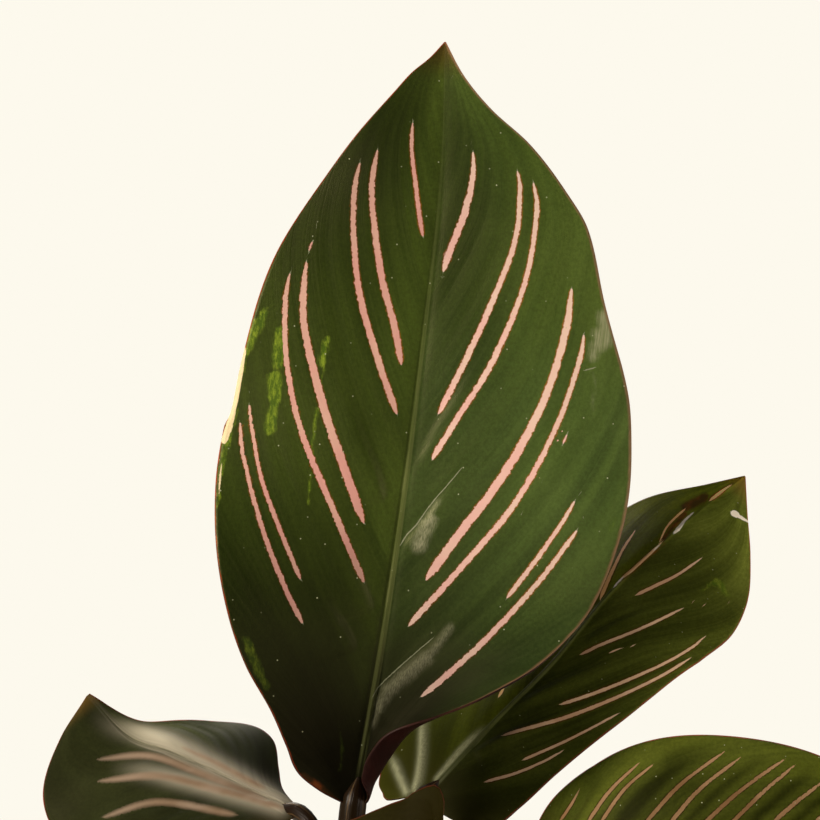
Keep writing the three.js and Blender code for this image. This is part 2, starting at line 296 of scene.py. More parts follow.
def makeFloor():
    material, tree, shader = newMaterial("floor")
    place = objectPlace(tree)
    near, far = studio["floorFade"]
    fade = remap(tree, howLong(tree, place), near * mm, far * mm)
    grain = remap(tree, noisy(tree, place, 60, 3.0), 0.2, 0.8, 0.97, 1.0)
    tint = addNode(tree, "ShaderNodeCombineColor", {0: grain, 1: grain, 2: grain}).outputs[0]
    tint = mixed(tree, 1.0, linear(studio["floor"]), tint, "MULTIPLY")
    feed(tree, shader.inputs, {"Base Color": tint, "Roughness": 0.8})
    glow = addNode(tree, "ShaderNodeEmission", {"Color": linear(studio["backdrop"]), "Strength": 1.0})
    ray = addNode(tree, "ShaderNodeLightPath").outputs["Is Camera Ray"]
    both = addNode(tree, "ShaderNodeMixShader", {
        0: times(tree, fade, ray), 1: shader.outputs[0], 2: glow.outputs[0]})
    tree.links.new(both.outputs[0], tree.nodes["Material Output"].inputs[0])
    bm = bmesh.new()
    bmesh.ops.create_circle(bm, cap_ends=True, segments=96, radius=studio["floorRadius"] * mm)
    addMesh("floor", bm, [material])


def makeLamps():
    for name, lamp in studio["lamps"].items():
        light = bpy.data.lights.new(name, "AREA")
        light.size = lamp["size"] * mm
        light.energy = lamp["power"]
        light.color = linear(lamp["colour"])[:3]
        holder = bpy.data.objects.new(name, light)
        holder.location = Vector(lamp["place"]) * mm
        aim = Vector(lamp["aim"]) * mm - holder.location
        holder.rotation_euler = aim.to_track_quat("-Z", "Y").to_euler()
        scene.collection.objects.link(holder)


makeCamera()
makeWorld()
makeFloor()
makeLamps()

print("leaf forms")

ovate = [(0, 0.04), (0.02, 0.36), (0.06, 0.58), (0.13, 0.78), (0.25, 0.95), (0.4, 1.0),
         (0.55, 0.95), (0.7, 0.79), (0.83, 0.53), (0.93, 0.22), (1, 0.02)]

# Midrib points from stalk to tip, the way the upper face looks, half widths and angles by the share of
# the length. Left and right are as seen on the upper face with the tip up.
frontLeaves = {
    "main": {
        "foot": (-5, 1), "thick": 2.3, "across": 70, "along": 260,
        "midrib": [(-8.1, 0, 220), (-2.8, 2, 250), (1.7, 5, 280), (5.5, 9, 310.3), (8.9, 15, 341),
                   (10, 24, 371.6)],
        "face": [(0.1, -1, 0.05), (-0.05, -1, 0.1), (-0.1, -1, 0.2)],
        "left": [(0, 1.2), (0.012, 7.4), (0.03, 12.6), (0.06, 15.7), (0.1, 19.8), (0.15, 26), (0.21, 30.8),
                 (0.29, 34.8), (0.38, 37.1), (0.455, 37.2), (0.475, 36.3), (0.54, 35.5), (0.64, 33.2),
                 (0.71, 30.2), (0.79, 24.6), (0.86, 18.1), (0.93, 9.6), (0.955, 6.5), (0.976, 3.1),
                 (1, 0.15)],
        "right": [(0, 1.2), (0.02, 5.8), (0.05, 11), (0.09, 16.6), (0.125, 20.6), (0.16, 24.4), (0.2, 30.3),
                  (0.24, 35), (0.29, 39.5), (0.36, 42.6), (0.43, 43.8), (0.5, 43), (0.56, 41.2),
                  (0.67, 34.7), (0.755, 30.1), (0.8, 25.1), (0.86, 17.4), (0.905, 9.8), (0.95, 4.2),
                  (1, 0.15)],
        "foldLeft": [(0, 8), (0.5, 6), (1, 12)],
        "curlLeft": [(0, 20), (0.1, 10), (0.5, -12), (1, -10)],
        "foldRight": [(0, -10), (0.12, -8), (0.2, 5), (1, 5)],
        "curlRight": [(0, 60), (0.03, 185), (0.05, 198), (0.07, 190), (0.1, 165), (0.13, 110), (0.165, 55),
                      (0.21, 18), (0.3, -8), (1, -12)],
        "wave": (1.2, 3, 0.5),
    },
    "right": {
        "foot": (8, 13), "thick": 1.8, "across": 56, "along": 220,
        "midrib": [(5, 16.6, 219.2), (19, 20, 234.1), (31.8, 24, 246.6), (43.7, 29, 260.3),
                   (57.3, 34, 272.5), (71.9, 39, 283.7)],
        "face": [(-0.4, -0.8, 0.45), (-0.42, -0.78, 0.45), (-0.2, -0.9, 0.3)],
        "left": [(0, 1), (0.005, 5.5), (0.01, 7), (0.02, 8.6), (0.03, 11), (0.045, 13.5), (0.06, 15.8),
                 (0.09, 19), (0.13, 21.6), (0.25, 25), (0.4, 26.5), (0.55, 25.5),
                 (0.7, 21.8), (0.82, 15), (0.92, 5.6), (1, 0.2)],
        "right": [(0, 1), (0.02, 12), (0.06, 16.6), (0.12, 17.6), (0.22, 17.8), (0.35, 19.2), (0.5, 21.6),
                  (0.62, 23.8), (0.72, 24.2), (0.82, 19.8), (0.89, 13.6), (0.95, 6.2), (1, 0.2)],
        "lobeLeft": 9.8,
        "foldLeft": [(0, -5), (0.3, -15), (1, -22)],
        "curlLeft": [(0, 0), (0.5, -15), (1, -5)],
        "foldRight": [(0, 5), (0.5, -5), (1, -5)],
        "curlRight": [(0, -10), (0.5, -20), (1, -10)],
        "wave": (0.5, 3, 1),
    },
    "low_right": {
        "foot": (14, -1), "thick": 1.7, "across": 56, "along": 250,
        "midrib": [(27, -2, 200), (42, -6, 207), (58, -10, 210), (75, -15, 209), (91, -21, 203),
                   (104, -27, 193)],
        "face": [(-0.3, -0.85, 0.45), (-0.2, -0.85, 0.5), (0.2, -0.8, 0.5)],
        "halfWidth": 28.3,
        "foldLeft": [(0, 5)], "curlLeft": [(0, -20)], "foldRight": [(0, 5)], "curlRight": [(0, -20)],
        "wave": (0.6, 3, 0),
    },
    "low_left": {
        "foot": (-15, -7), "thick": 1.6, "across": 46, "along": 160,
        "midrib": [(-18.7, 4, 218.2), (-27.3, 13, 221), (-36.3, 22, 224.4), (-46, 31, 227.6),
                   (-55.2, 39, 230.1), (-63.7, 42, 238.4)],
        "face": [(-0.1, -0.55, 0.8), (-0.1, -0.6, 0.75), (0.3, -0.8, 0.4)],
        "left": [(0, 1), (0.04, 10), (0.12, 19), (0.25, 26), (0.4, 29), (0.55, 30), (0.7, 28.4),
                 (0.85, 21.6), (0.95, 10), (1, 0.5)],
        "right": [(0, 1), (0.08, 2.1), (0.16, 4.3), (0.26, 8.9), (0.38, 14.5), (0.52, 15.2), (0.66, 11),
                  (0.82, 5), (0.93, 1.9), (1, 0.5)],
        "foldLeft": [(0, 0), (1, -5)], "curlLeft": [(0, -20)], "foldRight": [(0, 5)],
        "curlRight": [(0, -20)],
        "wave": (0.4, 3, 0),
    },
    "front": {
        "foot": (7, -15), "thick": 1.6, "across": 44, "along": 150,
        "midrib": [(7, -17, 209), (1.5, -18, 213.5), (-7, -22, 214), (-17, -29, 209), (-28, -39, 200),
                   (-38, -51, 188), (-46, -63, 173)],
        "face": [(0.5, -0.3, 0.8), (-0.2, -0.4, 0.9), (-0.3, -0.6, 0.7), (-0.4, -0.7, 0.5)],
        "left": [(0, 1), (0.04, 9), (0.12, 16), (0.25, 22), (0.4, 24), (0.55, 23), (0.7, 19),
                 (0.85, 12), (0.95, 5), (1, 0.5)],
        "right": [(0, 1), (0.02, 5.6), (0.035, 7.5), (0.05, 9.8), (0.06, 13), (0.07, 14.6), (0.08, 12.2),
                  (0.09, 10.2), (0.11, 8.7), (0.13, 7.6), (0.16, 6.8), (0.2, 7.4), (0.35, 11.5),
                  (0.55, 16), (0.7, 15), (0.85, 10), (0.95, 4.5), (1, 0.5)],
        "foldLeft": [(0, 5)], "curlLeft": [(0, -20)],
        "foldRight": [(0, 45), (0.1, 40), (0.2, 20), (0.35, 5), (1, 5)],
        "curlRight": [(0, 10), (0.2, 0), (1, -20)],
        "wave": (0.6, 3, 0),
    },
}

lobe = {  # how a blade reaches back past its stalk
    "end": 0.12,  # share of the length where it is straight again
    "root": 12,  # millimetres from the midrib by which it reaches back in full
}

# Lower leaves all round. Heading is the compass angle from +X. The midrib starts at its rise and has come
# down by its arch at the tip, in degrees. Roll tips the blade to its right.
lowerLeaves = {
    "back": {"foot": (1, 15), "base": (2, 24, 166), "heading": 96, "rise": 50, "arch": 84,
             "length": 114, "halfWidth": 31, "roll": 6},
    "back_left": {"foot": (-11, 15), "base": (-18, 24, 148), "heading": 140, "rise": 40, "arch": 78,
                  "length": 104, "halfWidth": 28, "roll": -8},
    "back_right": {"foot": (13, 16), "base": (20, 23, 156), "heading": 50, "rise": 42, "arch": 80,
                   "length": 108, "halfWidth": 29, "roll": 8},
    "left": {"foot": (-17, -2), "base": (-27, -4, 160), "heading": 188, "rise": 38, "arch": 76,
             "length": 104, "halfWidth": 28, "roll": 5},
    "front_left": {"foot": (-9, -12), "base": (-17, -22, 132), "heading": 236, "rise": 30, "arch": 72,
                   "length": 88, "halfWidth": 24, "roll": -6},
    "front_right": {"foot": (10, -12), "base": (19, -21, 148), "heading": 304, "rise": 34, "arch": 78,
                    "length": 100, "halfWidth": 27, "roll": 6},
    "side_right": {"foot": (19, 6), "base": (30, 8, 138), "heading": 8, "rise": 32, "arch": 72,
                   "length": 92, "halfWidth": 25, "roll": -5},
}


def lowerLeaf(leaf):
    heading, roll = math.radians(leaf["heading"]), math.radians(leaf["roll"])
    right = Vector((math.sin(heading), -math.cos(heading), 0))
    steps = 6
    points = [Vector(leaf["base"])]
    faces = []
    for i in range(steps + 1):
        pitch = math.radians(leaf["rise"] - leaf["arch"] * i / steps)
        level = math.cos(pitch)
        ahead = Vector((level * math.cos(heading), level * math.sin(heading), math.sin(pitch)))
        faces.append(right.cross(ahead) * math.cos(roll) + right * math.sin(roll))
        if i < steps:
            points.append(points[i] + ahead * (leaf["length"] / steps))
    fold = [(0, 12), (0.5, 4), (1, 10)]
    curl = [(0, 15), (0.4, -18), (1, -8)]
    plain = {
        "thick": 1.5, "across": 36, "along": 120, "wave": (1.3, 3, heading), "midrib": points,
        "face": faces, "foldLeft": fold, "curlLeft": curl, "foldRight": fold, "curlRight": curl,
    }
    return {**plain, **leaf}


def readyLeaf(leaf):
    # adds what the blade and the stalk are worked out from
    ready = dict(leaf)
    for half in ("left", "right"):
        if half not in ready:
            ready[half] = [(place, share * leaf["halfWidth"]) for place, share in ovate]
    points = [Vector(point) for point in leaf["midrib"]]
    last = len(leaf["face"]) - 1
    ready["rib"] = alongPoints(points)
    ready["looks"] = [(i / last, Vector(face)) for i, face in enumerate(leaf["face"])]
    ready["size"] = lengthOf(points)
    return ready


def bladeRow(leaf, place):
    # everything about one station of the midrib
    ahead = direction(leaf["rib"], place)
    right = ahead.cross(between(leaf["looks"], place)).normalized()
    height, count, phase = leaf["wave"]
    fade = min(1, 6 * place * (1 - place))
    halves = {}
    for side, half, shift in ((-1, "Left", 2), (1, "Right", 0)):
        wave = math.sin(2 * math.pi * count * place + phase + shift)
        halves[side] = {
            "width": between(leaf[half.lower()], place),
            "fold": math.radians(between(leaf["fold" + half], place)),
            "curl": math.radians(between(leaf["curl" + half], place)) or 1e-6,
            "wave": height * fade * wave,
            "lobe": leaf.get("lobe" + half, 0) * max(0, 1 - place / lobe["end"]) ** 2,
        }
    return {"place": place, "point": between(leaf["rib"], place), "right": right, "ahead": ahead,
            "up": right.cross(ahead), "halves": halves}


def bladePoint(row, side, out):
    # a point of the upper face, without its relief, at a share of the half width
    half = row["halves"][side]
    fold, curl, width = half["fold"], half["curl"], half["width"]
    sideways = width * (math.sin(fold + curl * out) - math.sin(fold)) / curl
    lift = width * (math.cos(fold) - math.cos(fold + curl * out)) / curl + half["wave"] * out ** 2
    back = half["lobe"] * smoothStep(0, lobe["root"], out * width)
    return row["point"] + row["right"] * (side * sideways) + row["up"] * lift - row["ahead"] * back


def veinRise(foot, out):
    # how far up the rest of the leaf a side vein has come at this share of the half width
    return out * (0.3 + 2.3 * foot ** 2 + 0.22 * (1 - foot) * out)


def veinFoot(place, out):
    # where on the midrib the side vein through this place starts; below 0 the veins fan out from the stalk
    lowest = veinRise(0, out)
    if place <= lowest:
        return 0.25 * (place / max(lowest, 1e-6) - 1)
    low, high = 0, place
    for _ in range(12):
        foot = (low + high) / 2
        if foot + (1 - foot) * veinRise(foot, out) > place:
            high = foot
        else:
            low = foot
    return (low + high) / 2


def inPicture(point):
    # where the camera sees a point, in picture pixels
    x, y, z = camera["place"]
    scale = camera["scale"] * y / (y - point.y)
    return Vector((camera["middle"] + (point.x - x) * scale, camera["middle"] - (point.z - z) * scale, 0))


leaves = {name: readyLeaf(leaf) for name, leaf in frontLeaves.items()}
leaves.update({name: readyLeaf(lowerLeaf(leaf)) for name, leaf in lowerLeaves.items()})

print("leaf markings")

# Pale stripes in picture pixels, from the midrib's end outwards, each with its full width.
pictureStripes = {
    "main": [
        (4.2, [(423, 238), (419, 213), (415, 180), (411.5, 146), (413, 120)]),
        (6.4, [(401.5, 366), (395, 329), (382, 279), (373, 213), (372.5, 180), (378, 148)]),
        (6.3, [(397, 415), (379, 363), (360, 296), (353.5, 229), (355, 188), (360.5, 161)]),
        (8.1, [(364, 524), (344, 468), (323, 405), (305, 330), (303.5, 296), (307, 260)]),
        (6.0, [(364.5, 584), (334, 512), (301, 430), (287, 363), (285.5, 301), (290.5, 272)]),
        (4.2, [(301, 581), (280, 530), (261.5, 479), (251, 421), (249, 401)]),
        (4.8, [(303, 624), (286, 590), (261.5, 526), (243, 454), (240, 420)]),
        (6.6, [(443, 273), (449.5, 252), (464, 216), (473, 176), (473, 150)]),
        (5.7, [(438, 415), (466, 360), (494, 298), (515.5, 240), (520, 189), (517, 169)]),
        (5.6, [(431.5, 461), (453, 426), (493, 361), (526, 279), (537, 208), (533, 181)]),
        (8.2, [(425, 581), (458, 536), (503, 476), (544, 400), (566, 330), (572, 286)]),
        (5.6, [(407.5, 627), (466, 562), (516, 502), (557.5, 424), (581, 355), (584, 332)]),
        (4.4, [(506, 599), (536, 560), (562.5, 522), (576.5, 498)]),
        (5.5, [(421.5, 698), (479.5, 646), (537.5, 583), (572.5, 537), (578.5, 528)]),
        (3.5, [(308.5, 253), (311, 246), (314.5, 239)]),
        (2.2, [(316, 229), (317.5, 225)]),
        (2.2, [(291.5, 270), (292, 267)]),
        (2.4, [(249, 393), (249.5, 390)]),
        (2.4, [(441.5, 279), (443, 276.5)]),
        (2.8, [(471, 144.5), (471.5, 141.5)]),
        (1.6, [(452, 78), (453, 76)]),
        (2.2, [(561.5, 447), (569, 430)]),
        (2, [(520.5, 516), (523.5, 512)]),
        (1.8, [(541.5, 483), (543.5, 480)]),
        (1.8, [(580, 494), (582, 490)]),
        (1.6, [(582.5, 519.5), (584.5, 516)]),
        # The three thinnest lines are painted glints along two creases and at the right margin, not stripes.
        (1.2, [(400, 546), (406, 535.6), (415.7, 525.3), (426, 511), (436.3, 497.6), (444, 489.3),
               (463, 467)]),
        (1.2, [(372.3, 697.7), (378.3, 687.4), (391, 674.6), (410, 657.4), (434, 637)]),
        (1.3, [(582, 371), (592, 368.5), (598, 366.5)]),
    ],
    "right": [
        (3.2, [(600, 600), (610.3, 578.6), (616, 567), (624, 550), (636, 531)]),
        (3.0, [(635, 596), (652, 588), (676, 576), (702, 558)]),
        (3.1, [(579, 655), (600, 646), (640, 630), (684, 608)]),
        (3.1, [(560, 706), (600, 692), (660, 666), (690, 649), (706, 636)]),
        (3.4, [(502, 737), (560, 720), (614, 699), (660, 677), (691, 658)]),
        (2.6, [(522, 761), (560, 744), (590, 729), (620, 713)]),
        (2.8, [(484, 783), (515, 774), (545, 761), (564, 750)]),
        (3.0, [(498.5, 699), (503, 691), (507, 683)]),
        (1.5, [(609, 654), (616, 651), (623, 648.5)]),
        (1.6, [(630, 648), (636, 645)]),
        (1.6, [(702, 607), (706, 603.5)]),
        (2.1, [(727.5, 604), (729, 602)]),
        (1.5, [(692, 602.5), (694.5, 600.5)]),
        (2.8, [(620, 580), (632, 570.6), (645.7, 558), (663, 542)]),
        (2.2, [(686, 509), (668.6, 526), (659.4, 543)]),
        (3, [(709, 502), (722, 492), (733, 484)]),
    ],
    "low_right": [
        (2.8, [(560, 822), (571, 806), (580, 790)]),
        (3.5, [(587, 824), (610, 792), (640, 763)]),
        (3.2, [(600, 824), (625, 790), (655, 764)]),
        (3.8, [(643, 826), (680, 786), (725, 752)]),
        (4, [(668, 826), (700, 790), (741, 758)]),
        (4, [(700, 828), (740, 792), (786, 759)]),
        (4, [(728, 828), (760, 796), (796, 765)]),
        (4.2, [(772, 824), (800, 800), (826, 780)]),
        (4.2, [(806, 832), (828, 812), (846, 800)]),
    ],
    "low_left": [
        (5, [(266, 792), (215, 764), (184, 750)]),
        (7, [(268, 803), (200, 774), (150, 757), (100, 760)]),
        (7, [(285, 811), (220, 792), (160, 778), (100, 782)]),
        (6, [(236, 816), (160, 803), (104, 818)]),
    ],
}
pictureMarks = {
    "main": {
        "yellow": [
            (15, [(246, 352), (250, 340), (257, 324)]),
            (12, [(259, 326), (264, 311)]),
            (7, [(245, 372), (246, 356)]),
            (14, [(281, 331), (280, 352), (279, 366)]),
            (20, [(276, 378), (275, 398)]),
            (14, [(272, 410), (271, 432)]),
            (9, [(321, 366), (324, 352), (327, 340)]),
            (4.4, [(320, 390), (323, 370)]),
            (6.4, [(312, 454), (314, 430), (317, 410)]),
            (4, [(308, 505), (310, 474)]),
            (9, [(220, 478), (224, 458), (228, 440), (236, 412)]),
            (5, [(217.5, 510), (219, 486)]),
            (12, [(246, 640), (256, 666), (266, 686)]),
            (6, [(340, 770), (342, 745), (338, 720)]),
            (4, [(611, 531), (614, 518)]),
        ],
        "scar": [
            (7.4, [(224, 441), (229, 428), (234, 404), (239, 378), (243, 350)]),
            (3, [(216.5, 505), (219, 487), (221, 462)]),
        ],
        "stain": [
            (16, [(302, 778), (318, 790), (334, 804)]),
        ],
        "white": [
            (3, [(324, 343.5), (328, 341)]),
            (3, [(310, 403), (314, 401)]),
            (2.6, [(301, 476.4), (305, 474)]),
            (2.6, [(318, 190), (322, 188)]),
        ],
        # painted sheen on the creases and along the right margin
        "paintedSheen": [
            (12, [(438, 502), (428, 516)]),
            (24, [(430, 518), (424, 532), (419, 545)]),
            (16, [(450, 628), (441, 641), (430, 655)]),
            (23, [(430, 655), (414, 669), (399, 681), (389, 691)]),
            (20, [(389, 692), (382, 702), (378, 710)]),
            (13, [(377, 711), (372, 725)]),
            (20, [(603, 316), (606, 330), (607, 341)]),
            (20, [(598, 334), (601, 346)]),
            (18, [(595, 345), (593, 357)]),
            (7, [(592, 372), (595, 378), (592, 410)]),
        ],
    },
    "right": {
        "yellow": [
            (8, [(704, 590), (716, 582), (728, 596)]),
            (3, [(745, 520), (742, 512)]),
        ],
        "scar": [
            (6.6, [(733.5, 513.4), (736.5, 515)]),
        ],
        "stain": [
            (9, [(662, 541), (672, 529), (685, 515)]),
            (13, [(686, 508), (706, 498)]),
            (5, [(617, 585), (640, 565), (664, 544)]),
            (6, [(710, 500), (722, 491), (733, 483)]),
        ],
        "white": [
            (5.4, [(613, 589), (618, 583), (625, 576)]),
            (4.2, [(652, 552.5), (662, 543.5)]),
            (3.8, [(672, 535.5), (679, 528.4), (685.7, 520.3), (696, 511)]),
            (7, [(730, 511), (741, 518), (753, 525)]),
        ],
    },
}
stripeRule = {  # for leaves the picture doesn't show
    "first": 0.02,  # share of the midrib where the lowest pair starts
    "last": 0.8,  # and from where on no more pairs start
    "end": 0.965,  # no stripe goes on past this share of the length
    "step": 0.115,
    "pairGap": 0.036,
    "reach": (0.10, 0.80),  # share of the half width from where to where a stripe runs
    "width": 1.15,
    "jitter": 0.012,
}
farOff = 99  # distance to marks that a leaf doesn't have


def ruleStripes(leaf, seed):
    # pairs of stripes along the side veins, in flat leaf millimetres
    chance = random.Random(seed)
    stripes = []
    for side, half in ((-1, "left"), (1, "right")):
        foot = stripeRule["first"] + chance.uniform(0, 0.03) + (0.03 if side > 0 else 0)
        while foot < stripeRule["last"]:
            for twin in (0, 1):
                vein = foot + twin * stripeRule["pairGap"] + chance.uniform(-1, 1) * stripeRule["jitter"] / 2
                start = stripeRule["reach"][0] + chance.uniform(0, 0.06)
                end = stripeRule["reach"][1] - chance.uniform(0, 0.16) - 0.25 * max(0, foot - 0.4)
                points = []
                for i in range(6):
                    out = start + (end - start) * i / 5
                    place = vein + (1 - vein) * veinRise(vein, out)
                    if place < stripeRule["end"]:
                        points.append((side * out * between(leaf[half], place), place * leaf["size"]))
                if len(points) > 2:
                    stripes.append((stripeRule["width"] * chance.uniform(0.75, 1.2), points))
            foot += stripeRule["step"] * chance.uniform(0.9, 1.12)
    return stripes


def strokeTree(strokes, step, tapered):
    # points along every stroke, each with the way it runs, its half width and its share of the stroke
    samples = []
    for number, (width, line) in enumerate(strokes):
        points = [Vector((x, y, 0)) for x, y in line]
        stations = alongPoints(points)
        length = lengthOf(points)
        count = max(2, round(length / step))
        # every other stroke runs backwards, so that the signed distance keeps its sign from one to the next
        turn = 1 if number % 2 else -1
        for i in range(count + 1):
            place = i / count
            half = width / 2
            if tapered:
                ends = min(1, (place * length / (2.2 * width)) ** 0.55)
                ends *= min(1, ((1 - place) * length / (4.5 * width)) ** 0.5)
                half *= ends * (1 - 0.18 * smoothStep(0.35, 0.8, place))
            samples.append((between(stations, place), direction(stations, place) * turn, half, place))
    tree = KDTree(len(samples))
    for i, sample in enumerate(samples):
        tree.insert(sample[0], i)
    tree.balance()
    return tree, samples


def besideStroke(place, strokes):
    # signed distance to the nearest stroke's middle, with its half width and share there
    tree, samples = strokes
    spot, index, away = tree.find(place)
    run, half, share = samples[index][1:]
    side = 1 if run.x * (place.y - spot.y) - run.y * (place.x - spot.x) > 0 else -1
    return side * away, half, share


def markAt(place, strokes):
    # distance to the edge of the nearest mark, below 0 inside it
    if strokes is None:
        return farOff
    away, half = besideStroke(place, strokes)[:2]
    return abs(away) - half


print("leaf materials")


def makeFibreGroup():
    # fine side veins, the cross lines between them, soft bands along the veins and even ripples
    group, given, result = newGroup("leafFibre", floats("Vein", "Side", "Seed", "Period"),
                                    floats("Streaks", "Bands", "Ripples", "Cross", "Height"))
    place = combined(group, given["Vein"], calc(group, "ABSOLUTE", given["Side"]), given["Seed"])
    streaks = noisy(group, stretched(group, place, (1.1, 0.06, 1)), 1.0, 3.0, 0.6)
    bands = noisy(group, stretched(group, place, (0.12, 0.02, 1)), 1.0, 2.0)
    cross = noisy(group, stretched(group, place, (0.9, 4.5, 1)), 1.0, 3.0, 0.6)
    turns = calc(group, "DIVIDE", given["Vein"], given["Period"])
    turns = timesPlus(group, bands, 0.5, turns)
    wave = calc(group, "SINE", times(group, turns, 2 * math.pi))
    feed(group, result, {"Streaks": streaks, "Bands": bands, "Ripples": remap(group, wave, -0.8, 0.8),
                         "Cross": cross, "Height": timesPlus(group, cross, 0.7, streaks)})
    return group


def makeStripeGroup():
    # ragged stripe and the dark line along it, from its distance and half width in millimetres
    group, given, result = newGroup("leafStripe", [*floats("Off", "Half", "Ragged", "Soft"),
                                                   ("Place", "Vector")], floats("Mask", "Halo"))
    rough = noisy(group, given["Place"], 1300, 4.0, 0.68)
    raggedAndSheen = times(group, minus(group, rough, 0.5), given["Ragged"])
    raggedAndSheen = times(group, raggedAndSheen, calc(group, "MULTIPLY", given["Half"], 1.8, clamp=True))
    inside = calc(group, "ADD", given["Half"], raggedAndSheen)
    inside = minus(group, inside, calc(group, "ABSOLUTE", given["Off"]))
    low, high = times(group, given["Soft"], -0.5), times(group, given["Soft"], 0.5)
    feed(group, result, {"Mask": remap(group, inside, low, high),
                         "Halo": remap(group, inside, -0.34, -0.06)})
    return group


def makeMottleGroup():
    # broken patch from the distance to its edge in millimetres, drawn out along the leaf
    group, given, result = newGroup("leafMottle", [*floats("Off", "Broken", "Size", "Soft"),
                                                   ("Place", "Vector")], floats("Mask"))
    rough = noisy(group, stretched(group, given["Place"], (1, 1, 0.35)), given["Size"], 5.0, 0.7)
    raggedAndSheen = times(group, minus(group, rough, 0.5), given["Broken"])
    feed(group, result, {"Mask": remap(group, minus(group, raggedAndSheen, given["Off"]), 0.0, given["Soft"])})
    return group


def makeMidribGroup():
    # the paler ridge of the midrib, partly a painted highlight, and the painted shade of the groove beside
    # it, both thinner towards the tip
    group, given, result = newGroup("leafMidrib", floats("Side", "Along", "RidgeHalf", "LineAt", "LineHalf"),
                                    floats("Ridge", "Line"))
    side, along = given["Side"], given["Along"]
    thin = timesPlus(group, along, -0.8, 1.0)
    off = minus(group, calc(group, "ABSOLUTE", side), times(group, given["RidgeHalf"], thin))
    grain = stretched(group, combined(group, side, along), (3.0, 9.0, 1))
    grain = remap(group, noisy(group, grain, 1.0, 3.0, 0.6), 0.35, 0.65, 0.5, 1.0)
    ridge = times(group, grain, remap(group, off, 0.16, -0.16))
    beside = minus(group, side, times(group, given["LineAt"], thin))
    off = minus(group, calc(group, "ABSOLUTE", beside), times(group, given["LineHalf"], thin))
    feed(group, result, {"Ridge": ridge, "Line": remap(group, off, 0.16, -0.16)})
    return group


def makePaintedLightGroup():
    # a soft round patch of painted light over the leaf: painted shade with a depth above 0, a painted
    # highlight with one below
    places = [(label, "Vector") for label in ("Spot", "Middle", "Size")]
    group, given, result = newGroup("leafPaintedLight", [*floats("Light", "Depth"), *places], floats("Light"))
    away = given["Spot"]
    for operation, by in (("MULTIPLY", (1, 1, 0)), ("SUBTRACT", given["Middle"]), ("DIVIDE", given["Size"])):
        away = addNode(group, "ShaderNodeVectorMath", {0: away, 1: by}, operation=operation).outputs[0]
    depth = times(group, given["Depth"], remap(group, howLong(group, away), 1.0, 0.0))
    feed(group, result, {"Light": times(group, given["Light"], minus(group, 1.0, depth))})
    return group


def makeDustGroup():
    # tiny pale specks here and there, on the flat leaf in millimetres
    group, given, result = newGroup("leafDust", floats("Side", "Along", "Seed"), floats("Mask"))
    place = combined(group, given["Side"], timesPlus(group, given["Along"], 150.0, given["Seed"]))
    cells = addNode(group, "ShaderNodeTexVoronoi", {"Vector": place, "Scale": 0.17}, voronoi_dimensions="2D")
    chance = addNode(group, "ShaderNodeSeparateColor", {0: cells.outputs["Color"]}).outputs
    dot = remap(group, cells.outputs["Distance"], 0.03, 0.014)
    kept = calc(group, "GREATER_THAN", chance[0], 0.55)
    feed(group, result, {"Mask": times(group, dot, times(group, kept, chance[1]))})
    return group


leafFibre = makeFibreGroup()
leafStripe = makeStripeGroup()
leafMottle = makeMottleGroup()
leafMidrib = makeMidribGroup()
leafPaintedLight = makePaintedLightGroup()
leafDust = makeDustGroup()

bladeVectors = {  # what the three numbers of a blade's vertex attributes are, in millimetres or shares
    "grain": ("vein", "creaseHighlight", "side"),
    "leafPlace": ("across", "along", "edge"),
    "stripe": ("off", "half", "share"),
    "marks": ("yellow", "scar", "stain"),
}
bladeNumbers = ("apart", "paintedSheen")  # distance to the nearest stripe and to painted sheen
mottles = {  # how each kind of mark breaks up
    "yellow": {"Broken": 3.4, "Size": 330, "Soft": 0.8},
    "stain": {"Broken": 1.3, "Size": 260, "Soft": 0.9},
    "scar": {"Broken": 0.5, "Size": 700, "Soft": 0.14},
    "paintedSheen": {"Broken": 1.3, "Size": 800, "Soft": 2.2},
}

